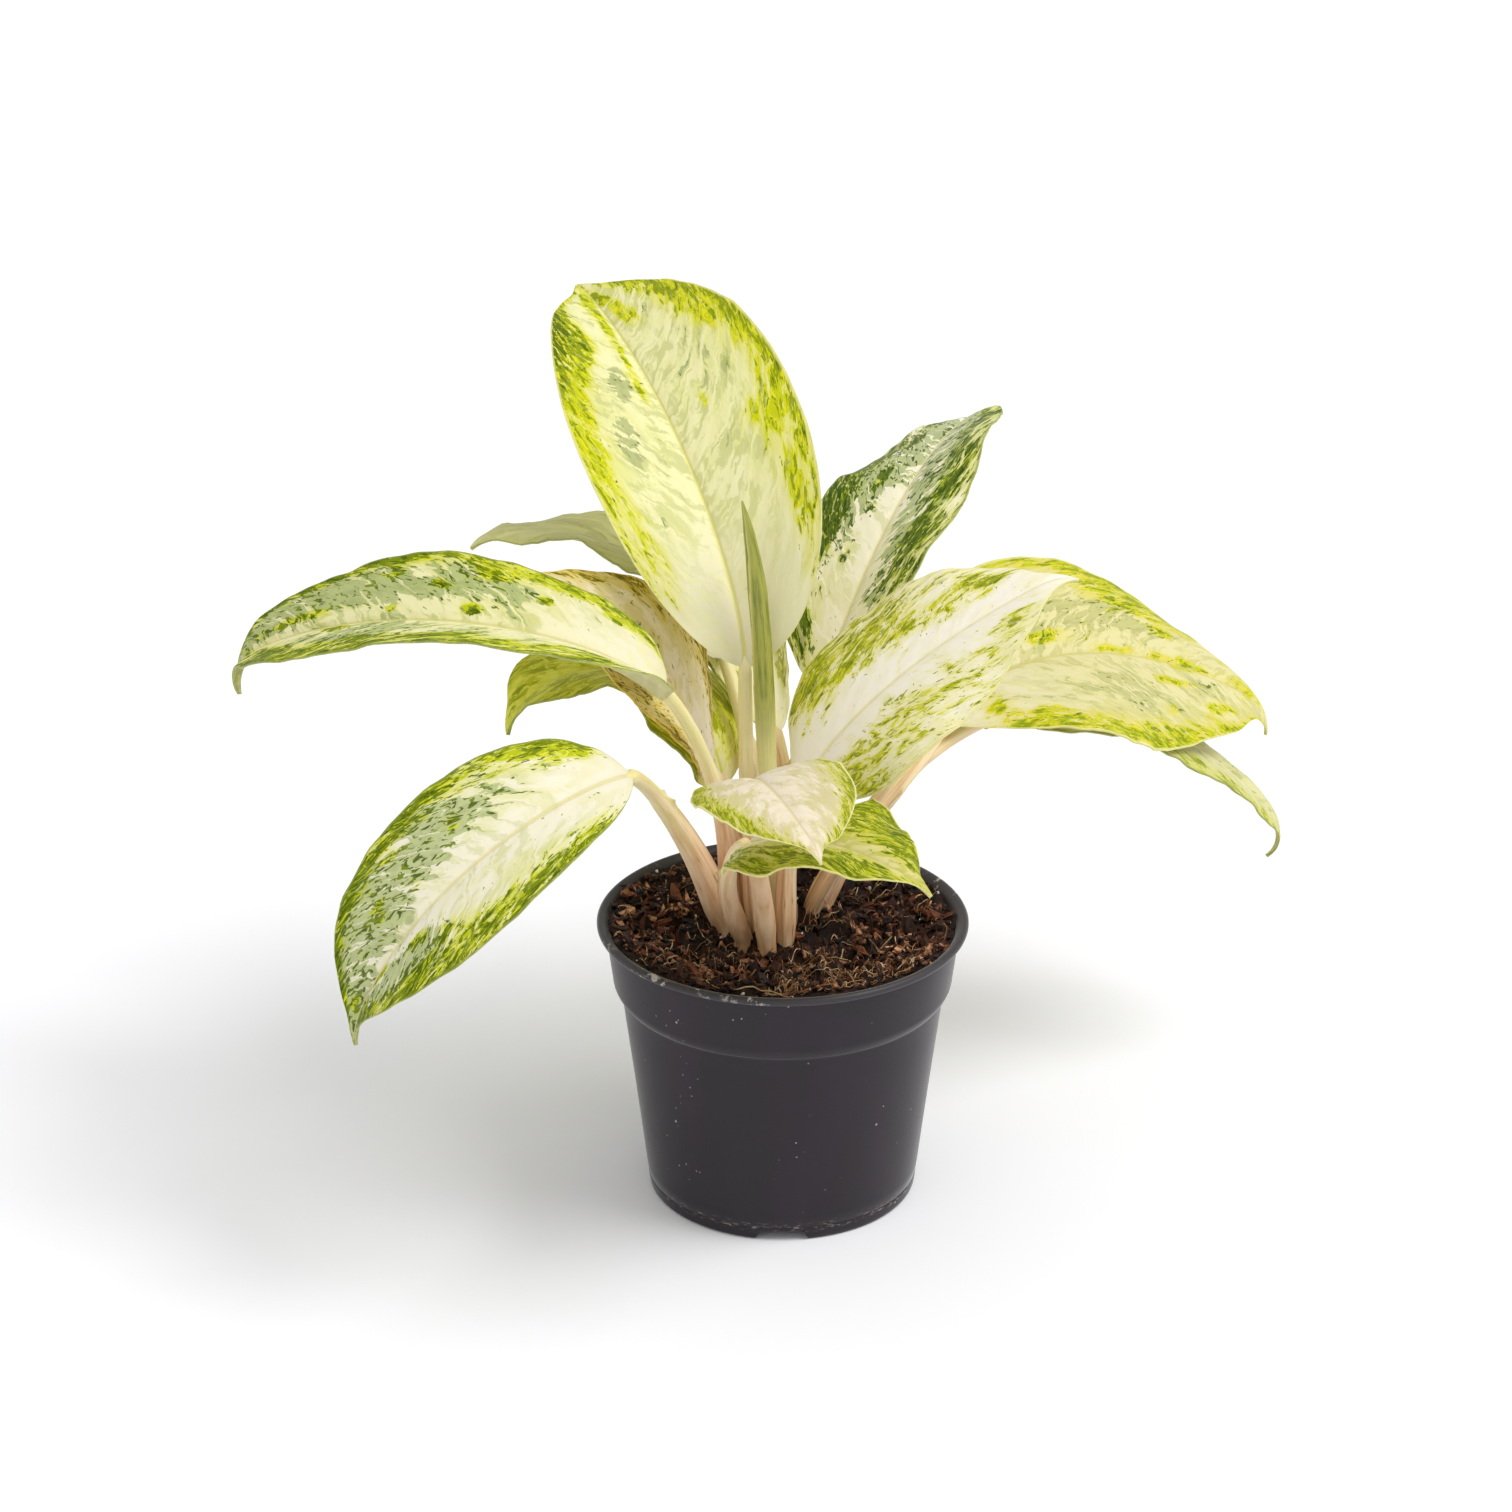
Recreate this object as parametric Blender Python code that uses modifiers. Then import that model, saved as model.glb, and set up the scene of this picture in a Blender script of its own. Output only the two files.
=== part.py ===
"""A chinese evergreen with marbled leaves, potted in a black nursery pot.

The pot stands on the floor with its axis on Z. The photograph's front is towards -Y.
Sizes below are in millimetres and angles in degrees, and the model is built in metres.
"""

from dataclasses import dataclass

import bmesh
import bpy
import numpy as np

MM = 0.001

# Pot
RIM_TOP = 95.0
RIM_RADIUS = 60.0
BAND_TOP = 92.2
BAND_TOP_RADIUS = 57.2
BAND_FOOT = 75.0
BAND_FOOT_RADIUS = 55.0
STEP_FOOT = 70.0
STEP_FOOT_RADIUS = 52.2
BODY_FOOT_RADIUS = 43.8
WALL = 1.5
FOOT_RING_INNER_RADIUS = 41.0
CHANNEL_HEIGHT = 3.6
CHANNEL_RADII = (27.5, 39.8)
PAD_RADIUS = 26.0
NOTCH_COUNT = 3
NOTCH_WIDTH_AT_FLOOR = 16.0
NOTCH_WIDTH_AT_TOP = 13.0
NOTCH_HEIGHT = 3.2
DRAIN_HOLE_COUNT = 6
DRAIN_HOLE_RADIUS = 4.0
DRAIN_HOLE_CIRCLE = 33.6
POT_STEPS = 48

# Soil
SOIL_TOP = 91.0
SOIL_GAP = 0.3
SOIL_LUMP = 1.5
SOIL_BANK = 1.6
SOIL_STEPS = 48
ROOT_DEPTH = 24.0
ROOT_GAP = 0.4

# Leaves
FINE_STEPS = 80
BLADE_THICKNESS = 0.8
MIDRIB_THICKNESS = (3.2, 0.9)
MIDRIB_HALF_WIDTH = (2.0, 0.6)
BLADE_FOOT_HALF_WIDTH = 1.9
BLADE_TIP_HALF_WIDTH = 0.4
ROW_SPACING = 9.5
FEWEST_ROWS = 12
COLUMNS = (0.4, 0.7, 1.0)
STALK_RADII = (2.7, 2.2)
STALK_GAP = 0.8
STALK_STEPS = 9
HOOK_START = 0.86
DRIP_TIP_START = 0.84
DRIP_TIP_NARROWING = 0.45

# The leaf that is still rolled up
NEW_LEAF_ROOT = (-1.5, 0.5)
NEW_LEAF_HEIGHT = 145.0
NEW_LEAF_LEAN = (-11.5, 4.5)
NEW_LEAF_STEPS = 16


@dataclass
class Leaf:
    """One leaf. A heading is (compass, rise): the compass turns from +X to +Y, rise is above level."""

    name: str
    root: tuple  # where the stalk leaves the soil
    stalk_length: float
    stalk_foot: tuple  # heading of the stalk at the soil
    stalk_top: tuple  # heading it has turned to under the blade
    nod: float  # how much the last third of the stalk rises above that heading
    blade_length: float
    blade_width: float
    tip: tuple  # heading at the tip
    arch: float  # under 1 the blade bends near its foot, over 1 near its tip
    roll: tuple  # tilt about the midrib, at the foot and at the tip
    fold: tuple  # how far the two halves fold up, at the foot and at the tip
    curl: tuple  # how far the left half and the right half curl back down
    lopsided: float  # share of its width that the left half has over the right
    widest: float  # where the blade is widest, from foot to tip
    taper: float  # over 1 the tip is drawn out, under 1 it is blunt
    wave: tuple  # height of the waves along the margin, and their number
    wave_start: tuple  # where in a wave the left margin and the right margin begin
    hook: float  # how far the drip tip bends down
    stalk_radii: tuple = STALK_RADII


LEAVES = (
    Leaf("crown_leaf", (-8.5, -0.5), 89, (110, 79), (127, 90), 0, 175, 75, (110, -1), 0.6,
         (-24, -5), (24, 21), (23, -2), -0.1, 0.43, 1.0, (-1.5, 2.3), (-40, 100), 5),
    Leaf("back_right_leaf", (-1, 13.5), 75, (71, 81), (60, 51), -1, 159, 62, (73, -23), 1.35,
         (-19, -27), (15, 11), (15, 20), 0.05, 0.4, 1.0, (2.1, 2.85), (-78, 180), 18),
    Leaf("front_right_leaf", (1, -9), 52, (20, 90), (-6, 85), -16, 117, 72, (9, 24), 0.6,
         (35, 8), (13, 12), (27, 24), 0, 0.43, 1.2, (2.2, 2), (-30, 170), 40),
    Leaf("right_leaf", (9, 12), 80, (-10, 68), (63, 20), 6, 158, 89, (9, -38), 0.7,
         (28, 20), (27, -3), (23, 26), 0, 0.44, 1.15, (-2.3, 1.7), (-40, 110), 60),
    Leaf("low_right_leaf", (13.5, 17.5), 87, (25, 69), (42, 6), -2, 148, 49, (-1, -59), 0.9,
         (-1, 5), (8, 12), (30, 29), 0, 0.42, 1.05, (1, 2.5), (0, 150), 85),
    Leaf("left_leaf", (-17.5, 9.6), 95, (275, 77), (201, 64), -11, 171, 48, (141, -38), 0.6,
         (-4, -33), (30, 18), (9, 7), 0, 0.41, 0.75, (1.3, 2.2), (100, 60), 65),
    Leaf("back_left_leaf", (-8, 22), 81, (95, 85), (133, 61), 2, 102, 56, (201, -12), 0.85,
         (13, 13), (25, 7), (28, 14), -0.03, 0.39, 0.85, (-1.7, 2.7), (-10, 60), 25),
    Leaf("low_left_leaf", (-15, 21), 39, (105, 78), (153, 83), -3, 102, 62, (206, -63), 1.15,
         (-3, 6), (10, 19), (20, 18), -0.04, 0.42, 0.95, (2.3, 2.7), (-70, -10), 20),
    Leaf("middle_left_leaf", (-10.6, 11.4), 51, (175, 78), (194, 72), 5, 105, 46, (171, -7), 1.35,
         (-27, -19), (12, 26), (24, 6), 0, 0.41, 1.15, (2.3, 1.5), (10, 210), -20),
    Leaf("front_left_leaf", (-18.5, 1.5), 85, (210, 72), (247, 42), -13, 137, 57, (177, -71), 0.6,
         (-30, -24), (25, 19), (20, 3), -0.03, 0.51, 1.1, (3, 1.4), (-50, 20), 20,
         stalk_radii=(3.9, 2.4)),
    Leaf("small_front_leaf", (-5, -14), 75, (235, 83), (272, 51), -1, 89, 50, (293, -14), 0.6,
         (14, -11), (20, 1), (25, 32), 0.03, 0.46, 1.25, (-0.9, 2.6), (-20, 100), 35),
    Leaf("small_right_leaf", (-12.5, -8.5), 54, (230, 63), (305, 59), -28, 83, 58, (334, -26), 1.3,
         (17, -17), (11, 13), (23, 27), 0.05, 0.41, 1.15, (1.6, 3.1), (-30, 110), 20),
    Leaf("back_leaf", (0.5, 22), 55, (70, 84), (113, 52), -3, 128, 45, (91, 16), 1.05,
         (24, 21), (7, 5), (27, 44), 0.03, 0.42, 1.0, (0.8, 2.4), (0, 60), 0),
)

# Colours as linear red, green, blue, and roughness
POT_LOOK = ((0.045, 0.038, 0.045), 0.55)
SOIL_LOOK = ((0.030, 0.016, 0.010), 0.95)
STALK_LOOK = ((0.62, 0.46, 0.33), 0.5)
BLADE_LOOK = ((0.42, 0.47, 0.13), 0.42)
NEW_LEAF_LOOK = ((0.36, 0.36, 0.12), 0.45)


def heading(compass, rise):
    """Unit vectors along headings given in degrees."""
    compass, rise = np.radians(compass), np.radians(rise)
    return np.stack([np.cos(compass) * np.cos(rise), np.sin(compass) * np.cos(rise), np.sin(rise)], -1)


def run_along(start, ways, length):
    """The points of a line that follows these headings at even steps."""
    step = length / (len(ways) - 1)
    moves = (ways[1:] + ways[:-1]) / 2 * step
    return np.vstack([start, start + np.cumsum(moves, axis=0)])


def stalk_line(leaf):
    """The stalk's centre line above the soil."""
    t = np.linspace(0, 1, FINE_STEPS + 1)
    turn = t * t * (3 - 2 * t) / 2 + t / 2
    compass = leaf.stalk_foot[0] + (leaf.stalk_top[0] - leaf.stalk_foot[0]) * turn
    rise = leaf.stalk_foot[1] + (leaf.stalk_top[1] - leaf.stalk_foot[1]) * turn
    rise = rise + leaf.nod * np.clip((t - 0.7) / 0.3, 0, 1) ** 2
    start = np.array([*leaf.root, SOIL_TOP])
    return run_along(start, heading(compass, rise), leaf.stalk_length)


def half_width(leaf, u):
    """Half the blade's width, u running from 0 at its foot to 1 at its tip."""
    tip_power = 0.85 * leaf.taper
    foot_power = tip_power * leaf.widest / (1 - leaf.widest)
    shape = u**foot_power * (1 - u) ** tip_power
    drip = np.clip((u - DRIP_TIP_START) / (0.96 - DRIP_TIP_START), 0, 1)
    shape = shape * (1 - DRIP_TIP_NARROWING * drip * drip * (3 - 2 * drip))
    peak = leaf.widest**foot_power * (1 - leaf.widest) ** tip_power
    least = BLADE_FOOT_HALF_WIDTH * (1 - u) + BLADE_TIP_HALF_WIDTH * u
    return np.maximum(leaf.blade_width / 2 * shape / peak, least)


def blade_frames(leaf):
    """The midrib's points, with the directions to the blade's left and to its upper side."""
    u = np.linspace(0, 1, FINE_STEPS + 1)
    bent = u**leaf.arch
    foot_rise = leaf.stalk_top[1] + leaf.nod
    compass = leaf.stalk_top[0] + (leaf.tip[0] - leaf.stalk_top[0]) * bent
    rise = foot_rise + (leaf.tip[1] - foot_rise) * bent
    rise = rise - leaf.hook * np.clip((u - HOOK_START) / (1 - HOOK_START), 0, 1) ** 1.5
    ways = heading(compass, rise)
    points = run_along(stalk_line(leaf)[-1], ways, leaf.blade_length)
    level = np.stack([-np.sin(np.radians(compass)), np.cos(np.radians(compass)), 0 * u], -1)
    upright = np.cross(ways, level)
    roll = np.radians(leaf.roll[0] + (leaf.roll[1] - leaf.roll[0]) * u)[:, None]
    left = level * np.cos(roll) + upright * np.sin(roll)
    up = upright * np.cos(roll) - level * np.sin(roll)
    return u, points, left, up


def blade_point(leaf, u, v, middle, left, up):
    """A point of the blade's upper face. v runs from -1 at the right margin to 1 at the left."""
    side = 1.0 if v >= 0 else -1.0
    out = abs(v)
    half = half_width(leaf, u) * (1 + side * leaf.lopsided)
    fold = np.radians(leaf.fold[0] + (leaf.fold[1] - leaf.fold[0]) * u)
    curl = np.radians(leaf.curl[0] if side > 0 else leaf.curl[1])
    across = (np.sin(fold) - np.sin(fold - curl * out)) / curl * half
    lift = (np.cos(fold - curl * out) - np.cos(fold)) / curl * half
    start = leaf.wave_start[0] if side > 0 else leaf.wave_start[1]
    wave = leaf.wave[0] * out**2 * np.sin(2 * np.pi * leaf.wave[1] * u + np.radians(start))
    lift = lift + wave * np.clip(half_width(leaf, u) / leaf.blade_width * 2.6, 0, 1)
    return middle + left * side * across + up * lift


def blade_rows(leaf):
    """Rows along the blade, closer together at its foot and its tip."""
    count = max(FEWEST_ROWS, round(leaf.blade_length / ROW_SPACING))
    even = np.linspace(0, 1, count + 1)
    eased = (even + (1 - np.cos(np.pi * even)) / 2) / 2
    return np.unique(np.round(eased * FINE_STEPS).astype(int))


def collection(name, hidden=False):
    made = bpy.data.collections.new(name)
    made.hide_render = hidden
    bpy.context.scene.collection.children.link(made)
    return made


def material(name, look):
    made = bpy.data.materials.new(name)
    made.use_nodes = True
    shader = made.node_tree.nodes["Principled BSDF"]
    shader.inputs["Base Color"].default_value = (*look[0], 1)
    shader.inputs["Roughness"].default_value = look[1]
    made.diffuse_color = (*look[0], 1)
    return made


def mesh_object(name, points, edges, faces, home):
    mesh = bpy.data.meshes.new(name)
    mesh.from_pydata([tuple(np.asarray(point) * MM) for point in points], edges, faces)
    made = bpy.data.objects.new(name, mesh)
    home.objects.link(made)
    return made


def shade_smooth(made):
    made.data.polygons.foreach_set("use_smooth", [True] * len(made.data.polygons))


def turned(name, profile, steps, home):
    """A profile of (radius, height), turned round the Z axis."""
    points = [(radius, 0, height) for radius, height in profile]
    edges = [(i, i + 1) for i in range(len(profile) - 1)]
    made = mesh_object(name, points, edges, [], home)
    screw = made.modifiers.new("turn", "SCREW")
    screw.axis = "Z"
    screw.steps = steps
    screw.render_steps = steps
    screw.use_merge_vertices = True
    screw.merge_threshold = 0.0001
    screw.use_smooth_shade = True
    return made


def apply_modifiers(made):
    """The object's mesh as its modifiers leave it."""
    graph = bpy.context.evaluated_depsgraph_get()
    mesh = bpy.data.meshes.new_from_object(made.evaluated_get(graph))
    made.modifiers.clear()
    made.data = mesh


def cut(made, cutter):
    boolean = made.modifiers.new(cutter.name, "BOOLEAN")
    boolean.operation = "DIFFERENCE"
    boolean.solver = "EXACT"
    boolean.object = cutter


def as_cutter(made):
    made.display_type = "WIRE"
    made.hide_render = True
    return made


def round_cutter(name, centre, bottom, top, radius, sides, home):
    mesh = bpy.data.meshes.new(name)
    made = bpy.data.objects.new(name, mesh)
    shape = bmesh.new()
    bmesh.ops.create_cone(shape, cap_ends=True, segments=sides, radius1=radius * MM,
                          radius2=radius * MM, depth=(top - bottom) * MM)
    shape.to_mesh(mesh)
    shape.free()
    made.location = (centre[0] * MM, centre[1] * MM, (top + bottom) / 2 * MM)
    home.objects.link(made)
    return as_cutter(made)


def notch_cutter(name, turn, home):
    """A block with sloped ends, through the foot ring at this angle round the pot."""
    below = 1.0
    slope = (NOTCH_WIDTH_AT_FLOOR - NOTCH_WIDTH_AT_TOP) / 2 / NOTCH_HEIGHT
    mesh = bpy.data.meshes.new(name)
    made = bpy.data.objects.new(name, mesh)
    shape = bmesh.new()
    bmesh.ops.create_cube(shape, size=1.0)
    for corner in shape.verts:
        height = NOTCH_HEIGHT if corner.co.z > 0 else -below
        half = NOTCH_WIDTH_AT_FLOOR / 2 - slope * height
        corner.co.x = half * MM if corner.co.x > 0 else -half * MM
        corner.co.y = -38.5 * MM if corner.co.y > 0 else -48.0 * MM
        corner.co.z = height * MM
    shape.to_mesh(mesh)
    shape.free()
    made.rotation_euler.z = np.radians(turn)
    home.objects.link(made)
    return as_cutter(made)


def pot_outside():
    """The pot's outer profile, from the rim down to the middle of its base."""
    return [
        (RIM_RADIUS - 1.7, RIM_TOP),
        (RIM_RADIUS - 0.6, RIM_TOP),
        (RIM_RADIUS, RIM_TOP - 0.7),
        (RIM_RADIUS, RIM_TOP - 1.6),
        (RIM_RADIUS - 0.6, RIM_TOP - 2.2),
        (BAND_TOP_RADIUS - 0.1, RIM_TOP - 2.4),
        (BAND_TOP_RADIUS, BAND_TOP - 0.4),
        (BAND_FOOT_RADIUS, BAND_FOOT),
        (BAND_FOOT_RADIUS - 0.2, BAND_FOOT - 1.6),
        (BAND_FOOT_RADIUS - 1.0, BAND_FOOT - 3.3),
        (STEP_FOOT_RADIUS + 0.8, STEP_FOOT + 0.7),
        (STEP_FOOT_RADIUS, STEP_FOOT),
        (48.7, 42.0),
        (BODY_FOOT_RADIUS, 1.6),
        (BODY_FOOT_RADIUS - 0.3, 0.5),
        (BODY_FOOT_RADIUS - 0.9, 0),
        (FOOT_RING_INNER_RADIUS, 0),
        (CHANNEL_RADII[1], CHANNEL_HEIGHT),
        (CHANNEL_RADII[0], CHANNEL_HEIGHT),
        (PAD_RADIUS, 0),
        (0, 0),
    ]


def pot_inside(gap=0.0):
    """The pot's inner profile, from the middle of its floor up to the rim band, moved in by a gap."""
    floor = CHANNEL_HEIGHT + WALL
    return [
        (0, WALL + gap),
        (PAD_RADIUS - 0.7 - gap, WALL + gap),
        (CHANNEL_RADII[0] - 0.7 - gap, floor + gap),
        (BODY_FOOT_RADIUS - 2.4 - gap, floor + gap),
        (BODY_FOOT_RADIUS - 1.2 - gap, floor + 1.4 + gap),
        (48.7 - WALL - gap, 42.3),
        (STEP_FOOT_RADIUS - WALL - 0.1 - gap, STEP_FOOT + 0.8),
        (BAND_FOOT_RADIUS - WALL - 1.3 - gap, BAND_FOOT - 2.6),
        (BAND_FOOT_RADIUS - WALL - 0.1 - gap, BAND_FOOT + 0.4),
    ]


def make_pot(home, cutters):
    lip = [
        (BAND_TOP_RADIUS - WALL - 0.2, BAND_TOP - 1.2),
        (BAND_TOP_RADIUS - WALL + 0.5, RIM_TOP - 1.7),
        (RIM_RADIUS - 2.6, RIM_TOP - 0.5),
    ]
    pot = turned("pot", pot_inside() + lip + pot_outside(), POT_STEPS, home)
    for i in range(NOTCH_COUNT):
        cut(pot, notch_cutter(f"notch_cutter_{i + 1}", i * 360 / NOTCH_COUNT, cutters))
    for i in range(DRAIN_HOLE_COUNT):
        turn = np.radians((i + 0.5) * 360 / DRAIN_HOLE_COUNT)
        centre = (DRAIN_HOLE_CIRCLE * np.cos(turn), DRAIN_HOLE_CIRCLE * np.sin(turn))
        name = f"drain_cutter_{i + 1}"
        cut(pot, round_cutter(name, centre, -1, CHANNEL_HEIGHT + WALL + 1, DRAIN_HOLE_RADIUS, 16, cutters))
    pot.data.materials.append(material("pot", POT_LOOK))
    return pot


def roots():
    """Where each stalk enters the soil, with its radius there."""
    found = [(leaf.root, leaf.stalk_radii[0]) for leaf in LEAVES]
    return [*found, (NEW_LEAF_ROOT, STALK_RADII[0])]


def soil_lumps(points, draw):
    """Heights of lumps over the soil, gone where a stalk enters it and along the pot's wall."""
    lumps = draw.uniform(-1, 1, len(points))
    nearest = np.full(len(points), 99.0)
    for root, _ in roots():
        nearest = np.minimum(nearest, np.hypot(points[:, 0] - root[0], points[:, 1] - root[1]))
    clear = np.clip((nearest - 4) / 8, 0, 1)
    return SOIL_LUMP * lumps * clear - 0.9


def make_soil(home, cutters):
    wall_top = (BAND_TOP_RADIUS - WALL - 0.5 - SOIL_GAP, SOIL_TOP - 0.8)
    across = [50.0, 44.0, 37.0, 30.0, 22.0, 14.0, 7.0, 0.0]
    top = [wall_top] + [(radius, SOIL_TOP - 0.9) for radius in across]
    inside = pot_inside(SOIL_GAP)
    soil = turned("soil", list(reversed(inside + top)), SOIL_STEPS, home)
    apply_modifiers(soil)
    points = np.array([vertex.co for vertex in soil.data.vertices]) / MM
    on_top = (points[:, 2] > SOIL_TOP - 1.5) & (np.hypot(points[:, 0], points[:, 1]) < 52)
    heights = soil_lumps(points[on_top], np.random.default_rng(7))
    bank = SOIL_BANK * np.clip((np.hypot(points[on_top, 0], points[on_top, 1]) - 30) / 14, 0, 1)
    points[on_top, 2] = SOIL_TOP + heights + bank
    soil.data.vertices.foreach_set("co", (points * MM).ravel())
    for i, (root, radius) in enumerate(roots()):
        name = f"root_cutter_{i + 1}"
        bottom = SOIL_TOP - ROOT_DEPTH - 0.4
        cut(soil, round_cutter(name, root, bottom, SOIL_TOP + 8, radius + ROOT_GAP, 12, cutters))
    soil.data.materials.append(material("soil", SOIL_LOOK))
    return soil


def tube(name, points, radii, sides, look, home):
    """A round stem through these points, with its radius at each."""
    data = bpy.data.curves.new(name, "CURVE")
    data.dimensions = "3D"
    data.bevel_depth = MM
    data.bevel_resolution = (sides - 4) // 2
    data.use_fill_caps = True
    line = data.splines.new("POLY")
    line.points.add(len(points) - 1)
    for spot, point, radius in zip(line.points, points, radii):
        spot.co = (*(np.asarray(point) * MM), 1)
        spot.radius = radius
    line.use_smooth = True
    made = bpy.data.objects.new(name, data)
    home.objects.link(made)
    data.materials.append(material(name, look))
    return made


def make_stalk(leaf, home):
    """The stalk stands upright in its hole in the soil and leans from the soil's top."""
    line = stalk_line(leaf)
    lengths = np.linspace(0, 1, len(line)) * leaf.stalk_length
    wanted = np.linspace(0, leaf.stalk_length - STALK_GAP, STALK_STEPS + 1)
    above = np.stack([np.interp(wanted, lengths, line[:, axis]) for axis in range(3)], -1)
    below = np.array([*leaf.root, SOIL_TOP - ROOT_DEPTH])
    points = np.vstack([below, above])
    foot, top = leaf.stalk_radii
    radii = [foot, *np.linspace(foot, top, STALK_STEPS + 1)]
    return tube(f"{leaf.name}_stalk", points, radii, 8, STALK_LOOK, home)


def make_new_leaf(home):
    """The rolled new leaf: a spear that leans back and ends in a point."""
    share = np.linspace(0, 1, NEW_LEAF_STEPS + 1)
    sway = 0.565 * share**0.7 + 0.435 * share**6
    x = NEW_LEAF_ROOT[0] + NEW_LEAF_LEAN[0] * sway
    y = NEW_LEAF_ROOT[1] + NEW_LEAF_LEAN[1] * share**4
    above = np.stack([x, y, SOIL_TOP + NEW_LEAF_HEIGHT * share], -1)
    below = np.array([*NEW_LEAF_ROOT, SOIL_TOP - ROOT_DEPTH])
    thick = np.interp(share, (0, 0.3, 0.55, 0.8, 0.93, 1), (2.6, 2.6, 3.3, 3.2, 1.8, 0.4))
    return tube("new_leaf", np.vstack([below, above]), [thick[0], *thick], 12, NEW_LEAF_LOOK, home)


def make_blade(leaf, home):
    """An open sheet of triangles, thickened downwards and most along the midrib."""
    u, middle, left, up = blade_frames(leaf)
    rows = blade_rows(leaf)
    points, thicknesses = [], []
    for row in rows:
        rib = MIDRIB_HALF_WIDTH[0] + (MIDRIB_HALF_WIDTH[1] - MIDRIB_HALF_WIDTH[0]) * u[row]
        beside = min(0.3, rib / half_width(leaf, u[row]))
        columns = [-v for v in reversed(COLUMNS)] + [-beside, 0, beside] + list(COLUMNS)
        for v in columns:
            points.append(blade_point(leaf, u[row], v, middle[row], left[row], up[row]))
            deep = MIDRIB_THICKNESS[0] + (MIDRIB_THICKNESS[1] - MIDRIB_THICKNESS[0]) * u[row]
            thicknesses.append(deep if v == 0 else BLADE_THICKNESS)
    across = 2 * len(COLUMNS) + 3
    faces = []
    for i in range(len(rows) - 1):
        for j in range(across - 1):
            a, b = i * across + j, (i + 1) * across + j
            if j < across // 2:
                faces += [(a, b, b + 1), (a, b + 1, a + 1)]
            else:
                faces += [(a, b, a + 1), (b, b + 1, a + 1)]
    blade = mesh_object(f"{leaf.name}_blade", points, [], faces, home)
    group = blade.vertex_groups.new(name="thickness")
    for i, thickness in enumerate(thicknesses):
        group.add([i], thickness / MIDRIB_THICKNESS[0], "REPLACE")
    solidify = blade.modifiers.new("thicken", "SOLIDIFY")
    solidify.thickness = MIDRIB_THICKNESS[0] * MM
    solidify.offset = -1
    solidify.use_rim = True
    solidify.vertex_group = "thickness"
    shade_smooth(blade)
    blade.data.materials.append(material(f"{leaf.name}_blade", BLADE_LOOK))
    return blade


def main():
    for old in list(bpy.data.objects):
        bpy.data.objects.remove(old)
    home = collection("potted_chinese_evergreen")
    cutters = collection("cutters", hidden=True)
    make_pot(home, cutters)
    make_soil(home, cutters)
    make_new_leaf(home)
    for leaf in LEAVES:
        make_stalk(leaf, home)
        make_blade(leaf, home)


main()
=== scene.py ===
"""A chinese evergreen with marbled leaves in a black nursery pot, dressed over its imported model.

Lengths are in millimetres and angles in degrees where no comment says otherwise. Settings, the
camera's place and the floor's reach are in metres and radians, which are Blender's units.
"""

from dataclasses import dataclass

import bmesh
import bpy
import numpy as np
from bpy.props import FloatProperty, FloatVectorProperty, IntProperty, PointerProperty
from mathutils import Euler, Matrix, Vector, noise


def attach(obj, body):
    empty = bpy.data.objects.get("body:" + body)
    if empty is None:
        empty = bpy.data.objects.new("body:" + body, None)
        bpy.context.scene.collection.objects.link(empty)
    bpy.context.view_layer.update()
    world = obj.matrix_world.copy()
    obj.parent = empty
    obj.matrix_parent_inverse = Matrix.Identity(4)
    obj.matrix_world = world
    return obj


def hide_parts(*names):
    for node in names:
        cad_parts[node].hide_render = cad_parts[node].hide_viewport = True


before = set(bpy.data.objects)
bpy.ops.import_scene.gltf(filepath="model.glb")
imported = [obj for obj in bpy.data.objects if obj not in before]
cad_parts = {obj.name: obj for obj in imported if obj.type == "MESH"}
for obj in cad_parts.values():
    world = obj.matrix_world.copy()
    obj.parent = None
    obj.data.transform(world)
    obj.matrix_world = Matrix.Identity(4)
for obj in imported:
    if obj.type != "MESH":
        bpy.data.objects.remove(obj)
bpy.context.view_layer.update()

bl_info = {
    "name": "Potted Chinese Evergreen",
    "version": (1, 0, 0),
    "blender": (4, 5, 0),
    "location": "3D View > Sidebar > Evergreen",
    "description": "Builds a chinese evergreen with marbled leaves in a nursery pot",
    "category": "Add Mesh",
}

MM = 0.001
SOIL_TOP = 91.0
SOIL_RADIUS = 56.9
SOIL_FLOOR = 1.9
# The soil's side from the top down, as (radius, height)
SOIL_SIDE = (
    (53.0, 76.0), (50.2, 71.0), (46.8, 42.3), (42.0, 6.6), (40.9, 5.5), (26.4, 5.5), (24.9, SOIL_FLOOR),
)
CRUMB_REACH = 55.2  # how far from the pot's axis crumbs lie
FIBRE_REACH = 54.0
FIBRE_END_REACH = 53.5
STALK_CLEARANCE = 3.4  # from the middle of a stalk's foot to the nearest crumb
# Heaps of bark and of coir on the soil, as (x, y, spread)
RUSTY_PILES = ((-46, -14, 6), (-40, 16, 7), (33, 8, 8), (40, -18, 6), (-20, -38, 6))
COIR_PILES = ((6, -47, 5), (22, -42, 6), (36, -30, 6), (-30, -34, 8), (10, -28, 8))
SHARE_IN_PILES = 0.66

FINE_STEPS = 160  # along the centre lines of a stalk and of a blade
LEAST_ROWS = 40  # in a blade's mesh
HOOK_START = 0.86
DRIP_TIP_START = 0.84
DRIP_TIP_NARROWING = 0.45
BLADE_FOOT_HALF_WIDTH = 1.9
BLADE_TIP_HALF_WIDTH = 0.4
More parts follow.
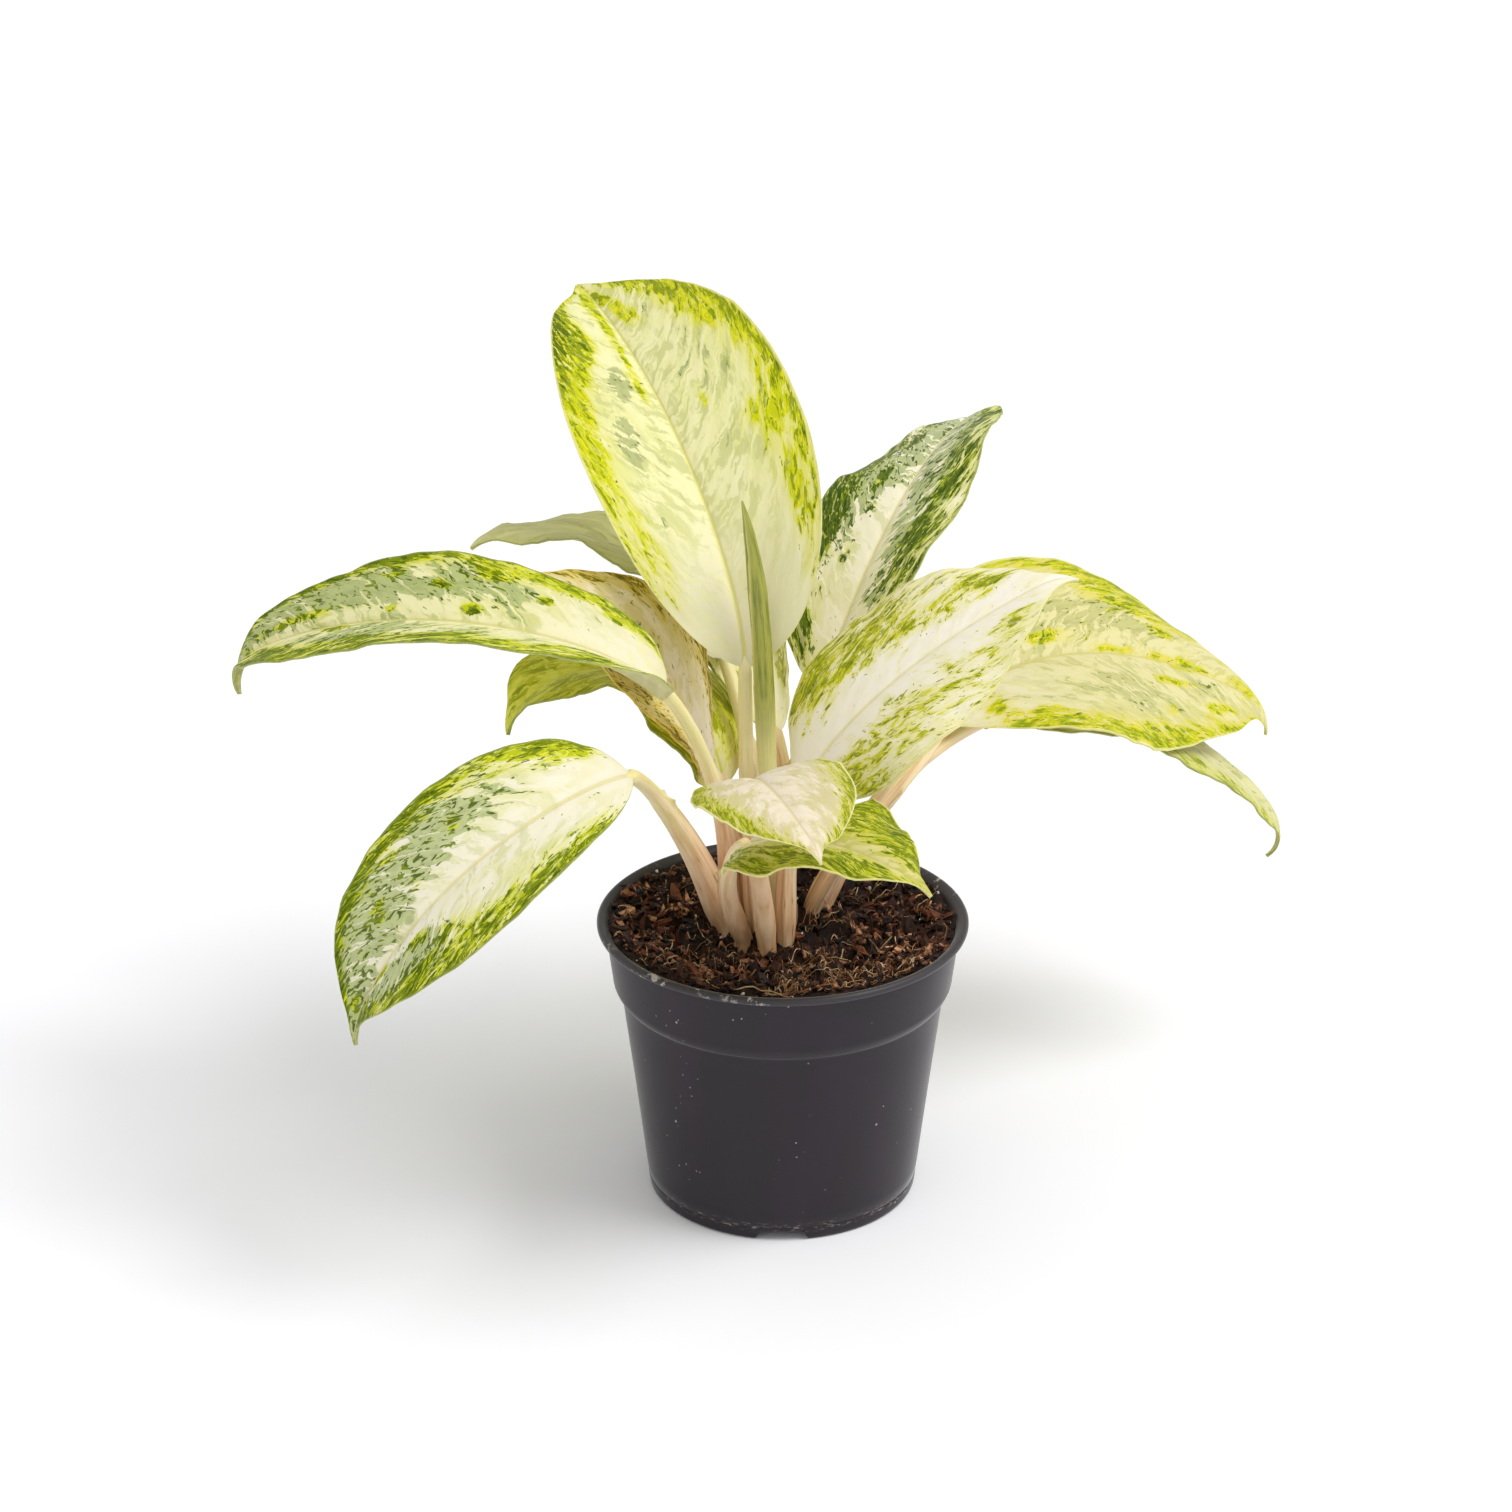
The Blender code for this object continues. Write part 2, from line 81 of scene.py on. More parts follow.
# Side veins leave the midrib at a slant and bend towards the tip. How far one has gone along the
# blade is VEIN_LEAN of its distance out from the midrib, and at the margin VEIN_BEND more. Its own
# length is VEIN_REACH of that distance, and at the margin VEIN_REACH_BEND more. VEIN_SLANT is the
# spacing of veins along the midrib over that straight across them.
VEIN_LEAN, VEIN_BEND = 0.7, 0.65
VEIN_REACH, VEIN_REACH_BEND = 1.22, 0.49
VEIN_SLANT = 1.6
SMOOTH_ANGLE = 60
POT_SMOOTH_ANGLE = 38
POT_LIP_HEIGHTS = (91.5, 93.5)  # between which the rim band ends and the rolled lip begins
POT_FOOT_HEIGHT = 4.8

SENSOR_WIDTH = 36.0
LENS = 106.55
CAMERA_PLACE = (0.0, -1.3, 0.726)
CAMERA_TURN = (66.16, 0.0, 0.38)
# Points that the lights shine from, of which only the direction counts
KEY_FROM = (0.80, -0.25, 1.20)
FRONT_FROM = (-0.35, -1.0, 0.75)
FLOOR_REACH = 12.0
FLOOR_WHITE = (0.957, 0.955, 0.982, 1.0)

ROOT_DEPTH = 24.0
STALK_SIDES = 28
STALK_END_REACH = 4.0  # how far a stalk runs on under its blade
STALK_END_DROP = 0.9  # how far under the midrib
SHEATH_EDGE_TURN = 0.62  # radians from the middle of a stalk's groove to its sheath's edge
NEW_LEAF_ROOT = (-1.5, 0.5)
NEW_LEAF_HEIGHT = 145.0
NEW_LEAF_LEAN = (-11.5, 4.5)  # from its root to its tip, in x and y
NEW_LEAF_RADII = (2.6, 2.6, 3.3, 3.2, 1.8, 0.3)
NEW_LEAF_SHARES = (0, 0.3, 0.55, 0.8, 0.93, 1)  # how far up those radii are
NEW_LEAF_SIDES = 48


def picked(red, green, blue):
    """A colour written from 0 to 255, turned into the linear values that shaders use."""
    shares = [value / 255 for value in (red, green, blue)]
    linear = [s / 12.92 if s <= 0.04045 else ((s + 0.055) / 1.055) ** 2.4 for s in shares]
    return (*linear, 1.0)


def shaded(colour, share, blue_share=None):
    """A darker tone of a colour, and a yellower one where its blue is cut further."""
    blue_share = share if blue_share is None else blue_share
    return (colour[0] * share, colour[1] * share, colour[2] * blue_share, 1.0)


# The leaves: shapes and markings


@dataclass
class Leaf:
    """One leaf's shape.

    A heading is (compass, rise): the compass turns from +X to +Y, and the rise is above level.
    """

    name: str
    root: tuple  # where the stalk leaves the soil
    stalk_length: float
    stalk_foot: tuple  # heading of the stalk at the soil
    stalk_top: tuple  # heading it has turned to under the blade
    nod: float  # how much the last third of the stalk rises above that heading
    blade_length: float
    blade_width: float
    tip: tuple  # heading at the tip
    arch: float  # under 1 the blade bends near its foot, over 1 near its tip
    roll: tuple  # tilt about the midrib, at the foot and at the tip
    fold: tuple  # how far the two halves fold up, at the foot and at the tip
    curl: tuple  # how far the left half and the right half curl back down
    lopsided: float  # share of its width that the left half has over the right
    widest: float  # where the blade is widest, from foot to tip
    taper: float  # over 1 the tip is drawn out, under 1 it is blunt
    wave: tuple  # height of the waves along the margin, and their number
    wave_start: tuple  # where in a wave the left margin and the right margin begin
    hook: float  # how far the drip tip bends down
    stalk_radii: tuple = (2.7, 2.2)  # at the soil and under the blade
    sheath_more: float = 0.0  # share of the stalk that its sheath covers beyond what others have


LEAVES = (
    Leaf("crown_leaf", (-8.5, -0.5), 89, (110, 79), (127, 90), 0, 175, 75, (110, -1), 0.6,
         (-24, -5), (24, 21), (23, -2), -0.1, 0.43, 1.0, (-1.5, 2.3), (-40, 100), 5),
    Leaf("back_right_leaf", (-1, 13.5), 75, (71, 81), (60, 51), -1, 159, 62, (73, -23), 1.35,
         (-19, -27), (15, 11), (15, 20), 0.05, 0.4, 1.0, (2.1, 2.85), (-78, 180), 18),
    Leaf("front_right_leaf", (1, -9), 52, (20, 90), (-6, 85), -16, 117, 72, (9, 24), 0.6,
         (35, 8), (13, 12), (27, 24), 0, 0.43, 1.2, (2.2, 2), (-30, 170), 40),
    Leaf("right_leaf", (9, 12), 80, (-10, 68), (63, 20), 6, 158, 89, (9, -38), 0.7,
         (28, 20), (27, -3), (23, 26), 0, 0.44, 1.15, (-2.3, 1.7), (-40, 110), 60),
    Leaf("low_right_leaf", (13.5, 17.5), 87, (25, 69), (42, 6), -2, 148, 49, (-1, -59), 0.9,
         (-1, 5), (8, 12), (30, 29), 0, 0.42, 1.05, (1, 2.5), (0, 150), 85),
    Leaf("left_leaf", (-17.5, 9.6), 95, (275, 77), (201, 64), -11, 171, 48, (141, -38), 0.6,
         (-4, -33), (30, 18), (9, 7), 0, 0.41, 0.75, (1.3, 2.2), (100, 60), 65),
    Leaf("back_left_leaf", (-8, 22), 81, (95, 85), (133, 61), 2, 102, 56, (201, -12), 0.85,
         (13, 13), (25, 7), (28, 14), -0.03, 0.39, 0.85, (-1.7, 2.7), (-10, 60), 25),
    Leaf("low_left_leaf", (-15, 21), 39, (105, 78), (153, 83), -3, 102, 62, (206, -63), 1.15,
         (-3, 6), (10, 19), (20, 18), -0.04, 0.42, 0.95, (2.3, 2.7), (-70, -10), 20),
    Leaf("middle_left_leaf", (-10.6, 11.4), 51, (175, 78), (194, 72), 5, 105, 46, (171, -7), 1.35,
         (-27, -19), (12, 26), (24, 6), 0, 0.41, 1.15, (2.3, 1.5), (10, 210), -20),
    Leaf("front_left_leaf", (-18.5, 1.5), 85, (210, 72), (247, 42), -13, 137, 57, (177, -71), 0.6,
         (-30, -24), (25, 19), (20, 3), -0.03, 0.51, 1.1, (3, 1.4), (-50, 20), 20,
         stalk_radii=(3.9, 2.4), sheath_more=0.08),
    Leaf("small_front_leaf", (-5, -14), 75, (235, 83), (272, 51), -1, 89, 50, (293, -14), 0.6,
         (14, -11), (20, 1), (25, 32), 0.03, 0.46, 1.25, (-0.9, 2.6), (-20, 100), 35),
    Leaf("small_right_leaf", (-12.5, -8.5), 54, (230, 63), (305, 59), -28, 83, 58, (334, -26), 1.3,
         (17, -17), (11, 13), (23, 27), 0.05, 0.41, 1.15, (1.6, 3.1), (-30, 110), 20),
    Leaf("back_leaf", (0.5, 22), 55, (70, 84), (113, 52), -3, 128, 45, (91, 16), 1.05,
         (24, 21), (7, 5), (27, 44), 0.03, 0.42, 1.0, (0.8, 2.4), (0, 60), 0),
)


@dataclass
class Marbling:
    """One blade's colours, each written from 0 to 255, and where its marks lie.

    A patch is (place along from foot to tip, place across from -1 right to 1 left, half length,
    half breadth, strength), and a negative strength clears marks away.
    """

    middle: tuple  # ground colour along the midrib
    flank: tuple  # ground colour towards the margins
    sage: tuple
    lime: tuple
    yellow: tuple
    green: tuple
    dark: tuple
    rim: tuple
    bands: tuple  # how far green marks come in from the left and the right margin, as shares of a half
    fullness: tuple  # how densely they fill those bands, from -1 to 1
    patches: tuple = ()  # of lime and green marks
    sage_patches: tuple = ()
    dark_patches: tuple = ()  # where the marks are darker
    depth: float = 0.0  # over 0 the marks are darker, under 0 lighter
    dashes: float = 0.0  # how many small dark dashes
    veins: float = 0.4  # how plainly the pale side veins show
    under_tone: float = 0.6  # how far the lower face fades to the underside's colour
    coarseness: float = 1.0  # size of the marks
    veil: float = 0.6  # how plainly the ground is clouded with sage

    def __post_init__(self):
        for name in ("middle", "flank", "sage", "lime", "yellow", "green", "dark", "rim"):
            setattr(self, name, picked(*getattr(self, name)))


FOOT_CREAM = picked(240, 231, 216)
UNDERSIDE = picked(190, 190, 134)
PALE_UNDERSIDE = picked(208, 206, 152)
# Each layer of the soil in three tones, from dark to light
PEAT = (picked(10, 5, 4), picked(54, 28, 18), picked(128, 88, 64))
BARK = (picked(40, 18, 11), picked(114, 62, 37), picked(212, 164, 124))
COIR = (picked(76, 44, 26), picked(158, 108, 70), picked(232, 200, 164))
STRAW = (picked(120, 86, 56), picked(176, 142, 98), picked(206, 180, 138))
GRIT = (picked(210, 200, 190), picked(235, 230, 222), picked(250, 250, 246))
CREAM_RIM = (228, 222, 150)
GREEN_RIM = (140, 150, 80)

MARBLINGS = {
    "crown_leaf": Marbling(
        (234, 230, 178), (222, 221, 152), (176, 182, 126), (192, 198, 10),
        (222, 216, 44), (138, 152, 6), (72, 96, 4), CREAM_RIM, (0.22, 0.24), (-0.1, 0.0),
        ((0.48, 0.92, 0.14, 0.20, 2.6), (0.70, 0.90, 0.15, 0.24, 4.0), (0.72, 0.60, 0.07, 0.18, 4.2),
         (0.62, 0.14, 0.07, 0.07, 4.4), (0.78, 0.15, 0.06, 0.10, 4.6), (0.90, 0.28, 0.06, 0.22, 4.4),
         (0.80, -0.22, 0.05, 0.11, 4.8), (0.93, -0.12, 0.06, 0.14, 4.2), (0.30, -0.76, 0.14, 0.12, 1.6),
         (0.42, -0.66, 0.03, 0.12, 3.0), (0.50, -0.33, 0.02, 0.05, 4.4), (0.72, -0.72, 0.10, 0.22, 2.6),
         (0.86, -0.78, 0.07, 0.28, 2.4), (0.22, 0.72, 0.14, 0.12, 1.4), (0.55, -0.90, 0.20, 0.10, 1.2),
         (0.06, 0.9, 0.08, 0.3, -2.0), (0.06, -0.8, 0.08, 0.5, -2.4),
         (0.97, 0.3, 0.05, 0.8, 2.2)),
        ((0.47, 0.50, 0.05, 0.10, 4.0), (0.60, 0.34, 0.05, 0.09, 4.2), (0.86, 0.55, 0.08, 0.22, 2.0),
         (0.62, -0.45, 0.22, 0.30, 1.4), (0.4, 0.35, 0.25, 0.3, 0.8)),
        ((0.76, 0.92, 0.09, 0.22, 2.2), (0.72, 0.62, 0.05, 0.12, 0.9), (0.84, -0.75, 0.08, 0.3, 0.7),
         (0.46, 0.9, 0.12, 0.3, -0.7)),
        depth=-0.2, dashes=0.5, veins=1.1, veil=0.85),
    "back_right_leaf": Marbling(
        (248, 240, 216), (232, 227, 174), (178, 188, 132), (154, 168, 26),
        (210, 214, 104), (92, 114, 10), (44, 70, 4), GREEN_RIM, (0.45, 0.55), (-0.2, -0.2),
        ((0.40, 0.78, 0.10, 0.20, 3.4), (0.56, 0.80, 0.05, 0.14, 3.2), (0.70, 0.72, 0.05, 0.14, 3.0),
         (0.86, 0.60, 0.05, 0.14, 3.0), (0.54, 0.38, 0.05, 0.08, 4.2), (0.72, 0.42, 0.05, 0.08, 4.0),
         (0.30, 0.34, 0.02, 0.06, 3.6), (0.44, 0.30, 0.02, 0.05, 3.6), (0.10, 0.6, 0.07, 0.4, 2.4),
         (0.36, 0.05, 0.16, 0.16, -2.0), (0.55, -0.62, 0.26, 0.30, 0.9), (0.95, -0.3, 0.08, 0.5, 2.0),
         (0.28, -0.60, 0.08, 0.2, 1.6)),
        ((0.52, 0.62, 0.26, 0.40, 4.8), (0.80, 0.45, 0.18, 0.40, 4.8), (0.55, -0.45, 0.40, 0.40, 4.2),
         (0.90, 0.0, 0.12, 0.9, 3.2), (0.3, 0.1, 0.14, 0.25, -1.6)),
        ((0.44, 0.85, 0.12, 0.3, 0.5),),
        depth=0.3, dashes=1.7, veins=1.3, veil=0.5),
    "front_right_leaf": Marbling(
        (247, 239, 224), (243, 236, 206), (222, 218, 160), (190, 193, 20),
        (224, 218, 90), (142, 152, 10), (94, 108, 8), CREAM_RIM, (0.66, 0.70), (-0.8, -0.8),
        ((0.24, 0.74, 0.12, 0.26, 1.9), (0.46, 0.60, 0.14, 0.26, 1.2), (0.76, 0.62, 0.06, 0.16, 3.0),
         (0.56, 0.34, 0.18, 0.18, 1.5), (0.14, -0.90, 0.08, 0.22, 2.6), (0.40, -0.42, 0.22, 0.34, 1.1),
         (0.78, -0.50, 0.04, 0.40, 1.4), (0.92, 0.5, 0.06, 0.5, -3.0), (0.93, -0.5, 0.05, 0.6, -3.0),
         (0.07, 0.5, 0.06, 0.5, -2.0)),
        ((0.62, 0.75, 0.14, 0.2, 2.0), (0.4, 0.8, 0.14, 0.2, 1.8), (0.5, -0.7, 0.3, 0.3, 1.0)),
        ((0.45, 0.7, 0.2, 0.3, 0.3), (0.76, 0.62, 0.06, 0.16, 0.8)),
        depth=-0.2, dashes=1.2, veins=0.4, coarseness=0.6, veil=0.15),
    "right_leaf": Marbling(
        (220, 212, 158), (208, 202, 136), (192, 190, 128), (186, 192, 12),
        (222, 206, 66), (140, 154, 8), (92, 110, 8), CREAM_RIM, (0.24, 0.20), (0.3, 0.5),
        ((0.62, 0.72, 0.13, 0.26, 3.4), (0.37, 0.18, 0.07, 0.06, 4.8), (0.52, 0.05, 0.05, 0.05, 4.6),
         (0.70, 0.03, 0.09, 0.09, 4.8), (0.66, -0.28, 0.07, 0.06, 4.4), (0.78, -0.58, 0.05, 0.12, 4.6),
         (0.45, -0.88, 0.34, 0.12, 1.8), (0.10, -0.5, 0.05, 0.3, 3.0), (0.20, -0.72, 0.05, 0.16, 2.6),
         (0.30, 0.55, 0.15, 0.3, -0.6), (0.9, 0.2, 0.08, 0.5, 2.4), (0.62, -0.62, 0.03, 0.06, 3.2),
         (0.68, 0.42, 0.03, 0.10, 4.0)),
        ((0.56, 0.40, 0.22, 0.26, 2.6), (0.50, -0.45, 0.30, 0.30, 2.4), (0.3, 0.4, 0.14, 0.4, 1.6),
         (0.80, -0.15, 0.08, 0.2, 2.0)),
        ((0.64, 0.72, 0.13, 0.26, 0.7), (0.50, -0.92, 0.4, 0.14, 0.4), (0.78, -0.58, 0.06, 0.12, 0.6)),
        depth=-0.6, dashes=0.8, veins=1.2, veil=0.9),
    "low_right_leaf": Marbling(
        (216, 212, 158), (202, 200, 142), (190, 192, 130), (176, 182, 60),
        (212, 210, 116), (138, 148, 50), (106, 116, 40), GREEN_RIM, (0.40, 0.40), (0.0, 0.0),
        ((0.60, 0.0, 0.3, 0.3, 0.8),), ((0.6, 0.0, 0.5, 1.0, 1.8),), depth=-0.3, veins=0.7, under_tone=0.45),
    "left_leaf": Marbling(
        (232, 227, 180), (212, 210, 134), (174, 184, 124), (180, 188, 16),
        (214, 214, 60), (116, 134, 4), (66, 88, 4), GREEN_RIM, (0.44, 0.20), (0.5, 0.3),
        ((0.62, 0.82, 0.22, 0.24, 1.8), (0.86, 0.50, 0.09, 0.50, 3.6), (0.66, 0.16, 0.04, 0.12, 4.2),
         (0.10, -0.84, 0.06, 0.16, 3.0), (0.24, -0.92, 0.14, 0.12, 2.0), (0.40, -0.20, 0.025, 0.09, 4.4),
         (0.27, -0.55, 0.02, 0.07, 4.4), (0.47, -0.52, 0.03, 0.10, 4.0), (0.56, -0.18, 0.02, 0.07, 4.4),
         (0.77, -0.32, 0.08, 0.10, 5.0), (0.37, -0.75, 0.05, 0.12, 3.0), (0.93, 0.0, 0.05, 0.9, 2.0),
         (0.20, 0.5, 0.06, 0.3, 2.0), (0.56, -0.72, 0.02, 0.08, 3.4),
         (0.75, -0.98, 0.25, 0.10, 2.4)),
        # Over the left half, where across is over 0, the sage patches and the darker marks near the tip are
        # partly the leaf's own marbling and partly painted shade, for that half lies in shadow.
        ((0.55, -0.58, 0.28, 0.30, 5.0), (0.86, -0.55, 0.12, 0.4, 4.4), (0.58, 0.5, 0.20, 0.5, 3.2),
         (0.25, 0.5, 0.12, 0.4, 1.6)),
        ((0.84, 0.60, 0.12, 0.50, 1.5), (0.50, 0.9, 0.1, 0.2, 0.9), (0.20, -0.9, 0.2, 0.3, -0.8),
         (0.77, -0.32, 0.1, 0.12, -0.9), (0.75, -0.98, 0.25, 0.10, 0.8)),
        depth=0.15, dashes=1.6, veins=1.0, coarseness=0.85, veil=0.75),
    "back_left_leaf": Marbling(
        (210, 208, 146), (194, 193, 130), (186, 185, 120), (176, 176, 104),
        (200, 198, 130), (164, 163, 90), (140, 140, 76), GREEN_RIM, (0.35, 0.35), (-0.4, -0.4),
        (), ((0.5, 0.0, 0.5, 1.0, 1.6),), depth=-0.5, dashes=-1.0, veins=0.5, under_tone=0.8),
    "low_left_leaf": Marbling(
        (222, 224, 100), (200, 202, 50), (208, 210, 66), (182, 186, 28),
        (216, 216, 84), (150, 158, 12), (122, 132, 8), GREEN_RIM, (0.9, 0.9), (0.2, 0.2),
        ((0.6, 0.0, 0.5, 1.0, 0.6),), ((0.6, 0.0, 0.5, 1.0, 0.4),), depth=0.0, dashes=-0.6, veins=1.2,
        under_tone=0.05),
    "middle_left_leaf": Marbling(
        (240, 224, 194), (222, 206, 144), (206, 192, 112), (190, 172, 62),
        (222, 196, 84), (138, 122, 30), (100, 84, 22), (212, 176, 70),
        (0.30, 0.34), (-0.4, 0.0),
        ((0.25, -0.8, 0.2, 0.25, 0.5), (0.2, 0.7, 0.2, 0.4, 0.6)), ((0.5, 0.0, 0.4, 0.8, 0.9),), depth=0.4,
        dashes=2.2, veins=0.3, under_tone=0.25, coarseness=0.7),
    "front_left_leaf": Marbling(
        (236, 230, 208), (222, 219, 168), (182, 191, 138), (178, 188, 14),
        (216, 216, 64), (114, 132, 4), (64, 86, 4), GREEN_RIM, (0.34, 0.24), (0.5, 0.6),
        ((0.35, 0.88, 0.20, 0.20, 1.2), (0.60, 0.50, 0.05, 0.12, 3.2), (0.68, 0.28, 0.04, 0.10, 3.8),
         (0.80, 0.10, 0.04, 0.09, 4.6), (0.90, 0.50, 0.06, 0.50, 2.6), (0.92, -0.30, 0.05, 0.50, 2.4),
         (0.50, -0.92, 0.30, 0.12, 1.4), (0.18, -0.72, 0.10, 0.22, 1.8), (0.46, -0.50, 0.03, 0.08, 3.2),
         (0.60, -0.30, 0.03, 0.08, 3.0), (0.72, -0.45, 0.04, 0.10, 3.0), (0.72, 0.75, 0.10, 0.20, 1.6),
         (0.10, 0.8, 0.10, 0.4, -2.4), (0.05, -0.8, 0.05, 0.6, -2.6), (0.35, 0.0, 0.3, 0.2, -1.6)),
        ((0.74, 0.50, 0.14, 0.28, 5.0), (0.60, -0.60, 0.26, 0.38, 5.0), (0.84, -0.52, 0.13, 0.5, 4.6),
         (0.94, 0.2, 0.06, 0.8, 4.0)),
        ((0.88, 0.0, 0.1, 1.0, 0.5), (0.18, -0.7, 0.14, 0.3, -1.0)),
        depth=0.25, dashes=1.9, veins=1.1, coarseness=0.8, veil=0.55),
    "small_front_leaf": Marbling(
        (230, 217, 197), (204, 194, 148), (198, 190, 124), (168, 176, 22),
        (210, 204, 96), (136, 142, 12), (96, 108, 12), (236, 230, 170),
        (0.28, 0.30), (0.3, 0.4),
        ((0.60, 0.92, 0.30, 0.14, 0.6), (0.72, -0.66, 0.12, 0.28, 1.2), (0.86, -0.30, 0.07, 0.25, 1.2),
         (0.86, 0.45, 0.06, 0.25, 0.8), (0.35, -0.92, 0.25, 0.15, 1.0), (0.1, 0.0, 0.12, 1.0, -2.0),
         (0.97, 0.0, 0.03, 1.0, -3.0)),
        ((0.6, 0.8, 0.3, 0.2, 1.0), (0.7, -0.7, 0.2, 0.3, 1.2)), depth=-0.2, dashes=1.2, veins=0.4,
        coarseness=0.5, veil=0.15),
    "small_right_leaf": Marbling(
        (212, 204, 144), (178, 178, 70), (194, 194, 92), (174, 182, 28),
        (210, 206, 78), (118, 134, 4), (84, 100, 2), (236, 228, 150),
        (0.72, 0.72), (0.6, 0.5),
        ((0.55, 0.55, 0.30, 0.45, 0.9), (0.68, -0.45, 0.16, 0.35, 1.0), (0.60, 0.0, 0.3, 0.10, -1.2),
         (0.96, 0.0, 0.05, 1.0, -3.0)),
        ((0.5, 0.2, 0.1, 0.3, 0.6),), depth=0.5, dashes=0.9, veins=0.6, coarseness=0.7),
    "back_leaf": Marbling(
        (248, 244, 184), (236, 231, 150), (222, 220, 124), (186, 186, 66),
        (218, 212, 100), (150, 152, 30), (112, 116, 16), GREEN_RIM, (0.60, 0.60), (-0.3, -0.3),
        ((0.3, 0.0, 0.3, 1.0, 0.6),), ((0.6, 0.0, 0.4, 0.8, 1.0),), depth=0.1, dashes=1.0, veins=0.5),
}


def heading(compass, rise):
    """Unit vectors along headings given in degrees."""
    compass, rise = np.radians(compass), np.radians(rise)
    return np.stack([np.cos(compass) * np.cos(rise), np.sin(compass) * np.cos(rise), np.sin(rise)], -1)


def run_along(start, ways, length):
    """The points of a line that follows these headings at even steps."""
    step = length / (len(ways) - 1)
    moves = (ways[1:] + ways[:-1]) / 2 * step
    return np.vstack([start, start + np.cumsum(moves, axis=0)])


def ease(value, low, high):
    """0 below low, 1 above high, and a smooth rise between them."""
    share = np.clip((value - low) / (high - low), 0, 1)
    return share * share * (3 - 2 * share)


def stalk_line(leaf):
    """The stalk's centre line above the soil."""
    t = np.linspace(0, 1, FINE_STEPS + 1)
    turn = t * t * (3 - 2 * t) / 2 + t / 2
    compass = leaf.stalk_foot[0] + (leaf.stalk_top[0] - leaf.stalk_foot[0]) * turn
    rise = leaf.stalk_foot[1] + (leaf.stalk_top[1] - leaf.stalk_foot[1]) * turn
    rise = rise + leaf.nod * np.clip((t - 0.7) / 0.3, 0, 1) ** 2
    start = np.array([*leaf.root, SOIL_TOP])
    return run_along(start, heading(compass, rise), leaf.stalk_length)


def half_width(leaf, u):
    """Half the blade's width, u running from 0 at its foot to 1 at its tip."""
    tip_power = 0.85 * leaf.taper
    foot_power = tip_power * leaf.widest / (1 - leaf.widest)
    shape = u**foot_power * (1 - u) ** tip_power
    shape = shape * (1 - DRIP_TIP_NARROWING * ease(u, DRIP_TIP_START, 0.96))
    peak = leaf.widest**foot_power * (1 - leaf.widest) ** tip_power
    least = BLADE_FOOT_HALF_WIDTH * (1 - u) + BLADE_TIP_HALF_WIDTH * u
    return np.maximum(leaf.blade_width / 2 * shape / peak, least)


def blade_frames(leaf):
    """The midrib's points, with the directions to the blade's left and to its upper side."""
    u = np.linspace(0, 1, FINE_STEPS + 1)
    bent = u**leaf.arch
    foot_rise = leaf.stalk_top[1] + leaf.nod
    compass = leaf.stalk_top[0] + (leaf.tip[0] - leaf.stalk_top[0]) * bent
    rise = foot_rise + (leaf.tip[1] - foot_rise) * bent
    rise = rise - leaf.hook * np.clip((u - HOOK_START) / (1 - HOOK_START), 0, 1) ** 1.5
    ways = heading(compass, rise)
    points = run_along(stalk_line(leaf)[-1], ways, leaf.blade_length)
    level = np.stack([-np.sin(np.radians(compass)), np.cos(np.radians(compass)), 0 * u], -1)
    upright = np.cross(ways, level)
    roll = np.radians(leaf.roll[0] + (leaf.roll[1] - leaf.roll[0]) * u)[:, None]
    left = level * np.cos(roll) + upright * np.sin(roll)
    up = upright * np.cos(roll) - level * np.sin(roll)
    return u, points, left, up


# Shader writing


class Wire:
    """One output of a node, which sums and products can be written with."""

    def __init__(self, paint, socket):
        self.paint = paint
        self.socket = socket

    def maths(self, operation, *others):
        inputs = dict(enumerate((self, *others)))
        return self.paint.node("ShaderNodeMath", {"operation": operation}, inputs)

    def __add__(self, other):
        return self.maths("ADD", other)

    __radd__ = __add__

    def __sub__(self, other):
        return self.maths("SUBTRACT", other)

    def __rsub__(self, other):
        return self.paint.node("ShaderNodeMath", {"operation": "SUBTRACT"}, {0: other, 1: self})

    def __mul__(self, other):
        return self.maths("MULTIPLY", other)

    __rmul__ = __mul__

    def __truediv__(self, other):
        return self.maths("DIVIDE", other)

    def __abs__(self):
        return self.maths("ABSOLUTE")

    def sine(self):
        return self.maths("SINE")

    def most(self, other):
        return self.maths("MAXIMUM", other)

    def parts(self):
        """The three numbers of a vector."""
        first = self.paint.node("ShaderNodeSeparateXYZ", inputs={0: self})
        return [Wire(self.paint, output) for output in first.socket.node.outputs[:3]]

    def rise(self, low, high):
        """0 below low, 1 above high, and a smooth rise between them."""
        inputs = {"Value": self, "From Min": low, "From Max": high}
        return self.paint.node("ShaderNodeMapRange", {"interpolation_type": "SMOOTHSTEP"}, inputs)


